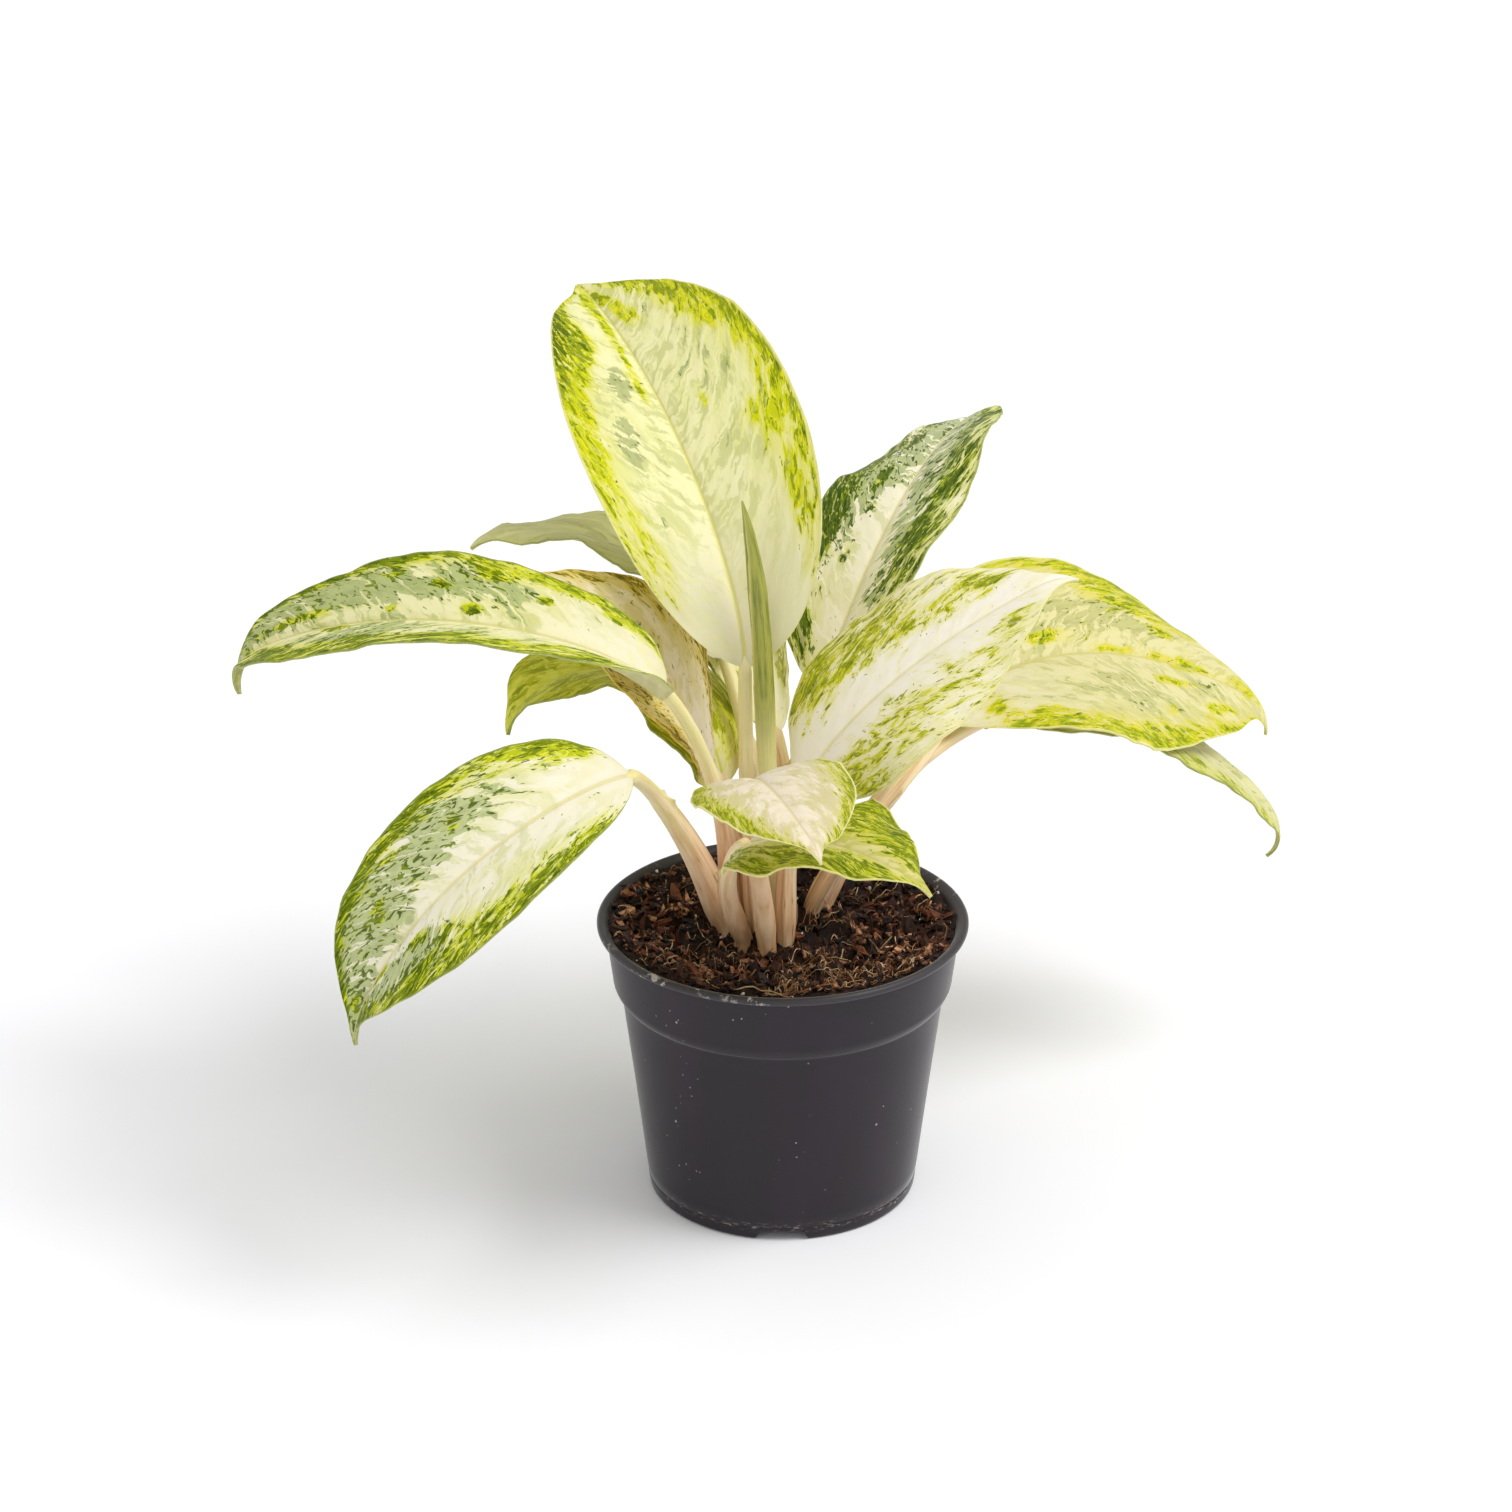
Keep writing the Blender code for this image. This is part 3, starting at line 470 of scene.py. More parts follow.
class Paint:
    """A material while its nodes are written."""

    def __init__(self, name):
        self.material = bpy.data.materials.new(name)
        self.material.use_nodes = True
        self.tree = self.material.node_tree
        self.shader = self.tree.nodes["Principled BSDF"]

    def node(self, kind, settings=None, inputs=None, output=0):
        """Adds a node of a kind, with its settings first and then its sockets' values or links."""
        made = self.tree.nodes.new(kind)
        for name, value in (settings or {}).items():
            setattr(made, name, value)
        for key, value in (inputs or {}).items():
            if isinstance(value, Wire):
                self.tree.links.new(value.socket, made.inputs[key])
            else:
                made.inputs[key].default_value = value
        return Wire(self, made.outputs[output])

    def stored(self, name):
        """A vector that the mesh stores at its points."""
        return self.node("ShaderNodeAttribute", {"attribute_name": name}, output="Vector")

    def place(self):
        """The point's own place in metres."""
        return self.node("ShaderNodeTexCoord", output="Object")

    def vector(self, x, y, z):
        return self.node("ShaderNodeCombineXYZ", inputs={0: x, 1: y, 2: z})

    def stretched(self, vector, x, y, z):
        settings = {"operation": "MULTIPLY"}
        return self.node("ShaderNodeVectorMath", settings, {0: vector, 1: (x, y, z)})

    def cloud(self, vector, scale=1.0, detail=2.0, roughness=0.5):
        """Soft noise from 0 to 1."""
        inputs = {"Vector": vector, "Scale": scale, "Detail": detail, "Roughness": roughness}
        return self.node("ShaderNodeTexNoise", inputs=inputs)

    def swing(self, vector, reach=9.0, detail=2.0, roughness=0.5):
        """Soft noise round 0, which mostly stays within 1 of it."""
        return (self.cloud(vector, 1.0, detail, roughness) - 0.5) * reach

    def cells(self, vector, scale):
        """Distance to the nearest of many scattered points."""
        inputs = {"Vector": vector, "Scale": scale}
        return self.node("ShaderNodeTexVoronoi", inputs=inputs, output="Distance")

    def blend(self, first, second, share):
        """A colour between two."""
        return self.node("ShaderNodeMix", {"data_type": "RGBA"}, {0: share, 6: first, 7: second}, output=2)

    def bumps(self, height, distance, strength=1.0):
        inputs = {"Height": height, "Distance": distance, "Strength": strength}
        return self.node("ShaderNodeBump", inputs=inputs)

    def surface(self, values):
        for key, value in values.items():
            if isinstance(value, Wire):
                self.tree.links.new(value.socket, self.shader.inputs[key])
            else:
                self.shader.inputs[key].default_value = value
        return self.material


class BladePaint(Paint):
    """A blade's material: patches, blots and dashes that lie along its side veins."""

    def __init__(self, name, marbling, seed):
        super().__init__(name)
        self.marbling = marbling
        self.seed = seed
        along, self.out, self.vein = self.stored("vein_place").parts()
        self.u, across, self.under = self.stored("blade_place").parts()
        self.green_call, self.sage_call, self.dark_call = self.stored("marking").parts()
        self.span = abs(across)
        sway = self.cloud(self.vector(along / 12.0, self.out / 12.0, seed + 30.0)) - 0.5
        shiver = self.cloud(self.vector(along / 2.8, self.out / 2.8, seed + 40.0)) - 0.5
        self.bent_along = along + sway * 12.0 + shiver * 3.6
        self.bent_out = self.out + sway * 8.0 - shiver * 2.2
        self.regions = self.blots(15.0, 9.0, 0.0, 1.5)
        self.clusters = self.blots(10.0, 6.6, 4.0)
        self.spots = self.blots(5.6, 3.2, 8.0, 2.5)
        self.tints = self.blots(4.4, 2.2, 16.0, 2.5)
        self.fine = self.blots(2.0, 1.1, 12.0, 1.5)
        self.thread = self.streaks(26.0, 2.6, 20.0)
        lines = self.streaks(34.0, 1.9, 50.0, 1.0) + self.vein.sine() * 0.35
        self.pale_line = (lines - 0.95).rise(0.0, 0.5) * (1.2 - self.span).rise(0.15, 0.5)

    def blots(self, long, broad, turn, detail=2.0):
        """Noise whose blots are this long and broad in millimetres along the side veins."""
        long = long * self.marbling.coarseness
        broad = broad * self.marbling.coarseness * VEIN_SLANT
        spot = self.vector(self.bent_along / broad, self.bent_out / long, self.seed + turn)
        return self.swing(spot, detail=detail, roughness=0.55)

    def streaks(self, long, broad, turn, detail=2.0):
        """Noise drawn out into lines along the side veins."""
        spot = self.vector(self.bent_along / broad, self.out / long, self.seed + turn)
        return self.swing(spot, detail=detail)

    def ground(self):
        """Cream to pale green, clouded with sage."""
        marbling = self.marbling
        flank = self.span * 0.9 + self.regions * 0.2 + self.clusters * 0.16 + self.fine * 0.07
        colour = self.blend(marbling.middle, marbling.flank, flank.rise(0.0, 0.7))
        colour = self.blend(colour, FOOT_CREAM, (1 - self.u.rise(0.05, 0.42)) * 0.55)
        pale_flank = shaded(marbling.flank, 0.94)
        veil_tone = tuple(0.55 * a + 0.45 * b for a, b in zip(pale_flank, marbling.sage))
        veil = self.clusters * 0.45 + self.thread * 0.5 + self.spots * 0.3 + self.fine * 0.1 + 0.1
        return self.blend(colour, veil_tone, veil.rise(-0.2, 0.7) * self.u.rise(0.08, 0.40) * marbling.veil)

    def sage_share(self):
        """Where the sage areas are, from 0 to 1."""
        share = self.regions * 0.4 + self.clusters * 0.4 + self.spots * 0.2 + self.fine * 0.14
        return (share + self.thread * 0.5 + self.sage_call).rise(0.0, 0.35)

    def mark_tone(self, height):
        """The lime, yellow, green and dark tones inside the marks."""
        marbling, dark_call = self.marbling, self.dark_call
        yellower = (self.fine * 0.8 + self.tints * 0.5 - dark_call * 0.2).rise(0.15, 0.55)
        tone = self.blend(marbling.lime, marbling.yellow, yellower)
        deeper = self.tints * 0.7 + self.clusters * 0.25 + self.fine * 0.15 + dark_call + height * 0.45
        tone = self.blend(tone, marbling.green, (deeper - 0.35).rise(0.0, 0.35))
        deepest = (self.tints * 0.6 + self.spots * 0.5 + dark_call - 1.15).rise(0.0, 0.35)
        return self.blend(tone, marbling.dark, deepest * 0.9)

    def marked(self, colour, height):
        """The green marks laid over a colour, with light specks and veins in them."""
        marbling = self.marbling
        share = height.rise(0.0, 0.22)
        colour = self.blend(colour, marbling.lime, height.rise(-0.9, 0.1) * 0.25)
        colour = self.blend(colour, self.mark_tone(height), share * 0.96)
        speck = (self.fine * 0.9 - self.tints * 0.5 - 0.8).rise(0.0, 0.3)
        colour = self.blend(colour, marbling.yellow, speck * share * 0.8)
        return self.blend(colour, marbling.flank, self.pale_line * share * marbling.veins * 0.35)

    def dashed(self, colour, sage):
        """Small dark dashes laid over a colour, most of them in the sage and near the marks."""
        marbling = self.marbling
        call = marbling.dashes * 0.5 - 3.0 + sage * 1.3 + (self.green_call + 2.3) * 0.35
        dash = (self.blots(2.8, 1.2, 26.0, 1.0) + call).rise(0.0, 0.2)
        tone = self.blend(marbling.green, marbling.dark, self.fine.rise(-0.6, 0.6))
        return self.blend(colour, tone, dash * 0.9)


def leaf_paint(leaf, marbling, seed):
    """A blade's marbling, from the ground colour up to the midrib and the rim."""
    paint = BladePaint(f"{leaf.name}_marbling", marbling, seed)
    thread, fine, under = paint.thread, paint.fine, paint.under
    yellow_wash = (paint.green_call + paint.clusters * 0.5).rise(-1.9, 0.4) * 0.5
    colour = paint.blend(paint.ground(), marbling.yellow, yellow_wash)
    sage = paint.sage_share()
    darker_sage = (paint.tints * 0.7 + fine * 0.3).rise(-0.2, 0.8)
    sage_tone = paint.blend(marbling.sage, shaded(marbling.sage, 0.86), darker_sage)
    colour = paint.blend(colour, sage_tone, sage * 0.88)
    colour = paint.blend(colour, marbling.middle, paint.pale_line * marbling.veins * 0.75)
    height = paint.spots * 0.62 + paint.clusters * 0.56 + fine * 0.28 + thread * 0.18 + paint.green_call
    colour = paint.dashed(paint.marked(colour, height), sage)

    midrib = 1 - (abs(paint.out) / (1.45 - paint.u)).rise(0.4, 1.0)
    colour = paint.blend(colour, shaded(marbling.middle, 0.88, 0.58), midrib * 0.8)
    colour = paint.blend(colour, marbling.rim, paint.span.rise(0.968, 0.99) * 0.75)
    underside = paint.blend(UNDERSIDE, PALE_UNDERSIDE, (thread + paint.tints * 0.4).rise(-0.9, 1.2))
    colour = paint.blend(colour, underside, under * marbling.under_tone)

    ridges = paint.vein.sine() * 0.25 + thread * 0.05 + fine * 0.03 - midrib * 0.5
    values = {
        "Base Color": colour,
        "Roughness": 0.48 + fine * 0.03 + under * 0.12,
        "Normal": paint.bumps(ridges + height.rise(0.0, 0.22) * 0.05, 0.0004, 0.6),
        "Subsurface Weight": 0.3,
        "Subsurface Radius": (1.0, 0.9, 0.3),
        "Subsurface Scale": 0.002,
        "Specular IOR Level": 0.07,
    }
    return paint.surface(values)


def stalk_paint():
    """Cream stalks, tan and streaked low on the sheaths, greener and paler towards the blades."""
    paint = Paint("stalk_skin")
    length, turn, number = paint.stored("stalk_place").parts()
    edge = paint.stored("stalk_part").parts()[1]
    streak = paint.swing(paint.vector(length / 45.0, turn * 1.3, number), 8.0, 3.0, 0.6)
    fine = paint.swing(paint.vector(length / 9.0, turn * 4.0, number + 7.0), 8.0)
    blush = paint.swing(paint.vector(length / 22.0, turn * 0.7, number + 3.0), 8.0)
    height = (paint.place().parts()[2] - SOIL_TOP * MM) / MM
    low = 1 - (height + blush * 9.0).rise(20.0, 76.0)
    bottom = 1 - (height + streak * 3.0).rise(-1.0, 13.0)
    cream = paint.blend(picked(242, 232, 184), picked(232, 222, 156), (streak + fine * 0.4).rise(-0.8, 1.0))
    tan = paint.blend(picked(242, 210, 172), picked(226, 182, 136), (streak + fine * 0.5).rise(-0.7, 1.1))
    colour = paint.blend(cream, tan, low)
    browning = bottom * (streak * 0.5 + fine * 0.3 + 0.8).rise(0.0, 1.4)
    colour = paint.blend(colour, picked(180, 130, 84), browning * 0.45)
    scar = (fine + streak * 0.5 - 1.5).rise(0.0, 0.4) * low
    colour = paint.blend(colour, picked(112, 76, 44), scar * 0.55)
    colour = paint.blend(colour, picked(150, 116, 72), edge * (0.25 + low * 0.55))
    values = {
        "Base Color": colour,
        "Roughness": 0.44 + fine * 0.03,
        "Normal": paint.bumps(streak * 0.03 + fine * 0.02, 0.0003, 0.5),
        "Subsurface Weight": 0.15,
        "Subsurface Radius": (1.0, 0.8, 0.4),
        "Subsurface Scale": 0.0015,
        "Specular IOR Level": 0.3,
    }
    return paint.surface(values)


def new_leaf_paint():
    """The rolled leaf's outside: olive green streaks, a paler foot and a pale overlapping edge."""
    paint = Paint("new_leaf_skin")
    along, turn = paint.stored("stalk_place").parts()[:2]
    share, edge = paint.stored("stalk_part").parts()[:2]
    streak = paint.cloud(paint.vector(along / 14.0, turn * 1.5, 3.0), 1.0, 4.0, 0.6)
    lines = paint.cloud(paint.vector(along / 50.0, turn * 5.0, 7.0), 1.0, 2.0, 0.6)
    colour = paint.blend(picked(162, 162, 68), picked(116, 128, 46), streak.rise(0.42, 0.66))
    colour = paint.blend(colour, picked(206, 202, 112), lines.rise(0.5, 0.75) * 0.6)
    colour = paint.blend(colour, picked(226, 218, 148), (1 - share.rise(0.48, 0.66)) * 0.8)
    colour = paint.blend(colour, picked(230, 202, 164), (1 - share.rise(0.10, 0.42)) * 0.8)
    colour = paint.blend(colour, picked(226, 220, 140), edge * 0.7)
    values = {
        "Base Color": colour,
        "Roughness": 0.40 + lines * 0.12,
        "Normal": paint.bumps(lines + streak * 0.3, 0.0004, 0.6),
        "Subsurface Weight": 0.15,
        "Subsurface Radius": (1.0, 0.9, 0.35),
        "Subsurface Scale": 0.0015,
    }
    return paint.surface(values)


def pot_paint(plastic):
    """Charcoal moulded plastic with dust specks, scuffs at the foot and chalky marks on the rim."""
    paint = Paint("pot_plastic")
    place = paint.place()
    height = place.parts()[2] / MM
    grain = paint.cloud(place, 900.0, 3.0, 0.6)
    smear = paint.cloud(paint.stretched(place, 1.0, 1.0, 0.35), 40.0, 4.0, 0.6)
    colour = paint.blend((*plastic, 1.0), shaded(plastic, 2.2), smear.rise(0.45, 0.8) * 0.5)
    dusty = paint.cloud(place, 45.0).rise(0.56, 0.66)
    dust = (1 - paint.cells(place, 300.0).rise(0.04, 0.11)) * dusty
    grit = 1 - paint.cells(place, 95.0).rise(0.025, 0.05)
    specks = dust.most(grit)
    colour = paint.blend(colour, picked(196, 188, 182), specks * 0.7)
    rim = height.rise(*POT_LIP_HEIGHTS)
    colour = paint.blend(colour, picked(70, 66, 68), rim * 0.5)
    chalky = paint.cloud(place, 38.0).rise(0.50, 0.58)
    chalk = paint.cloud(place, 260.0, 4.0, 0.7).rise(0.56, 0.64) * chalky
    colour = paint.blend(colour, picked(190, 180, 170), chalk * rim * 0.85)
    foot = 1 - abs(height - POT_FOOT_HEIGHT).rise(0.4, 2.2)
    scuff = paint.cloud(paint.stretched(place, 1.0, 1.0, 5.0), 360.0, 3.0, 0.7).rise(0.54, 0.66) * foot
    colour = paint.blend(colour, picked(172, 156, 144), scuff * 0.6)
    values = {
        "Base Color": colour,
        "Roughness": 0.42 + smear * 0.16 + specks * 0.25,
        "Normal": paint.bumps(grain + smear * 0.4, 0.00006, 0.6),
        "Specular IOR Level": 0.4,
        "Sheen Weight": 0.4,
        "Sheen Roughness": 0.3,
    }
    return paint.surface(values)


def soil_paint(name, tones, bump=0.0006):
    """Peat, coir or grit: tones from a stored shade, broken up by noise."""
    paint = Paint(name)
    place = paint.place()
    shade, wet = paint.stored("crumb").parts()[:2]
    mottle = paint.cloud(place, 420.0, 5.0, 0.65)
    patch = paint.cloud(place, 110.0, 3.0, 0.6)
    colour = paint.blend(tones[0], tones[1], (shade * 0.55 + mottle * 0.5).rise(0.36, 0.66))
    lightest = (patch * 0.5 + shade * 0.5).rise(0.54, 0.68) * mottle.rise(0.4, 0.6)
    values = {
        "Base Color": paint.blend(colour, tones[2], lightest),
        "Roughness": 0.8 - wet * 0.45,
        "Normal": paint.bumps(mottle, bump),
        "Specular IOR Level": 0.24,
    }
    return paint.surface(values)


def plain_paint(name, colour, roughness):
    return Paint(name).surface({"Base Color": colour, "Roughness": roughness})


# Mesh making


def new_mesh(name, points, faces, smooth=True):
    """A mesh from points in millimetres."""
    mesh = bpy.data.meshes.new(name)
    mesh.from_pydata((np.asarray(points) * MM).tolist(), [], faces)
    mesh.polygons.foreach_set("use_smooth", [smooth] * len(mesh.polygons))
    return mesh


def store(mesh, name, vectors):
    """Stores a vector at each of a mesh's points, for its material to read."""
    made = mesh.attributes.new(name, "FLOAT_VECTOR", "POINT")
    made.data.foreach_set("vector", np.asarray(vectors, np.float32).ravel())


def put(name, data):
    """Puts a mesh, a lamp or a camera into the scene as an object."""
    made = bpy.data.objects.new(name, data)
    bpy.context.scene.collection.objects.link(made)
    return made


def show(name, mesh, material, node=None):
    """Shows a piece, riding on the part's one body, in place of the node whose shape it takes."""
    mesh.materials.append(material)
    made = put(name, mesh)
    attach(made, "root")
    if node:
        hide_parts(node)


def grid_faces(rows, columns, flip=False, closed=False):
    """Faces of a grid of points, row by row. A closed grid joins its last column to its first."""
    faces = []
    for i in range(rows - 1):
        for j in range(columns if closed else columns - 1):
            k = (j + 1) % columns
            face = (i * columns + j, (i + 1) * columns + j, (i + 1) * columns + k, i * columns + k)
            faces.append(face[::-1] if flip else face)
    return faces


def moved_faces(faces, start):
    """Faces whose points are numbered from a later start."""
    return [tuple(start + i for i in face) for face in faces]


def patch_field(u, v, patches):
    """The sum of soft patches over a blade."""
    field = np.zeros(np.broadcast(u, v).shape)
    for at_u, at_v, long, broad, strength in patches:
        field = field + strength * np.exp(-(((u - at_u) / long) ** 2) - ((v - at_v) / broad) ** 2)
    return field


def marking_fields(u, v, marbling):
    """How strongly marks, sage and dark tones are called for over a blade.

    At 0 about half the surface is marked, at 1 nearly all of it and at -2 next to none.
    """
    band = np.where(v > 0, marbling.bands[0], marbling.bands[1])
    full = np.where(v > 0, marbling.fullness[0], marbling.fullness[1])
    green = -2.4 + (2.4 + full) * ease(np.abs(v), 1 - band - 0.25, 1 - band + 0.25)
    green = np.minimum(green + patch_field(u, v, marbling.patches), 0.95)
    green = green - 2.0 * (1 - ease(u, 0.02, 0.14)) * (1 - np.abs(v) * 0.5)
    sage = np.minimum(-1.8 + patch_field(u, v, marbling.sage_patches), 1.3)
    dark = marbling.depth + 0.6 * ease(np.abs(v), 0.80, 1.0) + patch_field(u, v, marbling.dark_patches)
    return np.stack([green, sage, dark], -1)


@dataclass
class BladeGrid:
    """A blade's points, row by row from its foot to its tip and from its right margin to its left."""

    u: np.ndarray  # place along the blade, from 0 to 1
    v: np.ndarray  # place across it, from -1 to 1
    side: np.ndarray  # -1 on the right half and 1 on the left
    out: np.ndarray  # distance from the midrib, as a share of that half's width
    width: np.ndarray  # half the blade's width at each row
    half_span: np.ndarray  # width of the half that the point is in
    out_mm: np.ndarray

    @property
    def body(self):
        """1 where the blade is broad, and less towards its foot and tip."""
        return np.clip(self.width / 12, 0, 1)

    def rows_of(self, field, fine_u):
        """A field that is known at fine steps along the blade, at the grid's rows."""
        return np.stack([np.interp(self.u[:, 0], fine_u, field[:, k]) for k in range(3)], -1)[:, None]


def blade_grid(leaf, settings):
    """The grid: rows lie closer at the ends, and columns closer at the midrib."""
    rows = max(LEAST_ROWS, round(leaf.blade_length * MM / settings.row_spacing))
    even = np.linspace(0, 1, rows)
    along = (even * 2 + (1 - np.cos(np.pi * even)) / 2) / 3
    half = np.linspace(0, 1, settings.columns) ** 1.15
    u, v = np.meshgrid(along, np.concatenate([-half[:0:-1], half]), indexing="ij")
    side = np.where(v >= 0, 1.0, -1.0)
    width = half_width(leaf, along)[:, None]
    half_span = width * (1 + side * leaf.lopsided)
    return BladeGrid(u, v, side, np.abs(v), width, half_span, np.abs(v) * half_span)


def blade_bend(leaf, grid):
    """How far across and how high each point lies once the halves fold up, curl back and wave."""
    fold = np.radians(leaf.fold[0] + (leaf.fold[1] - leaf.fold[0]) * grid.u)
    curl = np.radians(np.where(grid.side > 0, leaf.curl[0], leaf.curl[1]))
    across = (np.sin(fold) - np.sin(fold - curl * grid.out)) / curl * grid.half_span
    lift = (np.cos(fold - curl * grid.out) - np.cos(fold)) / curl * grid.half_span
    start = np.radians(np.where(grid.side > 0, leaf.wave_start[0], leaf.wave_start[1]))
    wave = leaf.wave[0] * grid.out**2 * np.sin(2 * np.pi * leaf.wave[1] * grid.u + start)
    return across, lift + wave * np.clip(grid.width / leaf.blade_width * 2.6, 0, 1)


def vein_phase(leaf, grid, settings):
    """An angle that turns once from one side vein to the next."""
    slant = 1.25 * grid.out_mm + 0.55 * grid.out**2 * grid.half_span
    along = leaf.blade_length * grid.u - slant
    uneven = 0.9 * np.sin(along / 11 + 0.13 * grid.side * grid.out_mm) + 0.5 * np.sin(along / 4.7 + grid.side)
    return 2 * np.pi * along * MM / settings.vein_spacing + uneven


def blade_relief(grid, vein, settings, draw):
    """Height of the swelling between side veins, of the margin's ripples and of the midrib's groove."""
    quilt = -settings.quilting / MM * np.sin(vein) * np.sin(np.pi * grid.out)
    ripple = 0 * grid.u
    for waves in (7, 11, 17):
        phases = np.where(grid.side > 0, *draw.uniform(0, 2 * np.pi, 2))
        ripple = ripple + np.sin(2 * np.pi * waves * grid.u + phases) * 2.2 / waves
    ripple = ripple * grid.out**4 * settings.ripple / MM
    groove = -0.5 * np.exp(-((grid.out_mm / 1.1) ** 2))
    return (quilt + ripple + groove) * grid.body


def blade_points(leaf, grid, vein, settings, draw):
    """The points of a blade's upper face, and those of its lower face with the midrib under it."""
    fine_u, *fields = blade_frames(leaf)
    middle, left, up = (grid.rows_of(field, fine_u) for field in fields)
    across, lift = blade_bend(leaf, grid)
    lift = lift + blade_relief(grid, vein, settings, draw)
    top = middle + left * (grid.side * across)[..., None] + up * lift[..., None]
    rib = (2.5 - 1.9 * grid.u) * np.exp(-((grid.out_mm / (1.7 - 0.8 * grid.u)) ** 2))
    normal = np.cross(np.gradient(top, axis=0), np.gradient(top, axis=1))
    normal /= np.maximum(np.linalg.norm(normal, axis=-1, keepdims=True), 1e-9)
    below = top - normal * (settings.thickness / MM + rib)[..., None]
    return np.concatenate([top.reshape(-1, 3), below.reshape(-1, 3)])


def sheet_faces(rows, columns):
    """Faces of two grids, one under the other, and of the margin that joins them."""
    count = rows * columns
    faces = grid_faces(rows, columns) + moved_faces(grid_faces(rows, columns, flip=True), count)
    margin = [i * columns for i in range(rows)]
    margin += [(rows - 1) * columns + j for j in range(1, columns)]
    margin += [i * columns + columns - 1 for i in range(rows - 2, -1, -1)]
    margin += list(range(columns - 2, 0, -1))
    return faces + [(a, a + count, b + count, b) for a, b in zip(margin, margin[1:] + margin[:1])]


def blade_mesh(leaf, marbling, settings, draw):
    """A blade with a grooved midrib, side veins and a rippled margin, and what its marbling reads."""
    grid = blade_grid(leaf, settings)
    vein = vein_phase(leaf, grid, settings)
    mesh = new_mesh(leaf.name, blade_points(leaf, grid, vein, settings, draw), sheet_faces(*grid.u.shape))
    slanted = leaf.blade_length * grid.u - (VEIN_LEAN + VEIN_BEND * grid.out**2) * grid.out_mm
    reach = grid.out_mm * (VEIN_REACH + VEIN_REACH_BEND * grid.out**2)
    vein_place = np.stack([slanted, grid.side * reach, vein], -1).reshape(-1, 3)
    store(mesh, "vein_place", np.concatenate([vein_place, vein_place]))
    place = np.stack([grid.u, grid.v, 0 * grid.u], -1).reshape(-1, 3)
    store(mesh, "blade_place", np.concatenate([place, place + (0, 0, 1)]))
    fields = marking_fields(grid.u, grid.v, marbling).reshape(-1, 3)
    store(mesh, "marking", np.concatenate([fields, fields]))
    mesh.set_sharp_from_angle(angle=np.radians(SMOOTH_ANGLE))
    return mesh


def tube_frames(line, up_at_end):
    """Directions across a line that turn as little as they can, given the one wanted at its end."""
    ways = np.gradient(line, axis=0)
    ways /= np.linalg.norm(ways, axis=1, keepdims=True)
    ups = np.zeros_like(line)
    up = np.asarray(up_at_end, float)
    for i in range(len(line) - 1, -1, -1):
        up = up - ways[i] * np.dot(up, ways[i])
        up = up / np.linalg.norm(up)
        ups[i] = up
    return ways, ups, np.cross(ups, ways)


def tube_mesh(name, line, up_at_end, radius_at, edges_at, number, sides):
    """A closed stem round a line. radius_at and edges_at take the share along it and the angle round it."""
    ways, ups, rights = tube_frames(line, up_at_end)
    lengths = np.concatenate([[0], np.cumsum(np.linalg.norm(np.diff(line, axis=0), axis=1))])
    angles = np.linspace(0, 2 * np.pi, sides, endpoint=False)
    share, angle = np.meshgrid(lengths / lengths[-1], angles, indexing="ij")
    around = ups[:, None] * np.cos(angle)[..., None] + rights[:, None] * np.sin(angle)[..., None]
    points = line[:, None] + around * radius_at(share, angle)[..., None]
    mesh = new_mesh(name, points.reshape(-1, 3), tube_faces(len(line), sides))
    turn = np.sin(angle / 2) * 3.0
    store(mesh, "stalk_place", np.stack([share * lengths[-1], turn, 0 * turn + number], -1))
    store(mesh, "stalk_part", np.stack([share, edges_at(share, angle), 0 * share], -1))
    mesh.set_sharp_from_angle(angle=np.radians(SMOOTH_ANGLE))
    return mesh


def tube_faces(rows, sides):
    """Faces of a tube that is closed at both ends."""
    first, last = tuple(range(sides)), tuple(range((rows - 1) * sides, rows * sides))
    return grid_faces(rows, sides, closed=True) + [first, last[::-1]]


def wrapped(angle):
    """An angle from -pi to pi."""
    return (angle + np.pi) % (2 * np.pi) - np.pi


def above_soil(share, soil_share):
    """Place along the part of a stem that stands above the soil, from 0 to 1."""
    return np.clip((share - soil_share) / (1 - soil_share), 0, 1)


def foot_in_soil(root):
    """The buried end of a stem's line."""
    return np.array([[*root, SOIL_TOP - ROOT_DEPTH], [*root, SOIL_TOP - 3]])


def stalk_path(leaf):
    """A stalk's line from its foot in the soil to its end under the blade, and which way its groove faces."""
    above = stalk_line(leaf)[:: FINE_STEPS // 40]
    u, line, _, ups = blade_frames(leaf)
    reach = np.searchsorted(u, STALK_END_REACH / leaf.blade_length)
    under_blade = line[1:reach + 1:2] - ups[1:reach + 1:2] * STALK_END_DROP
    return np.vstack([foot_in_soil(leaf.root), above, under_blade]), ups[0]


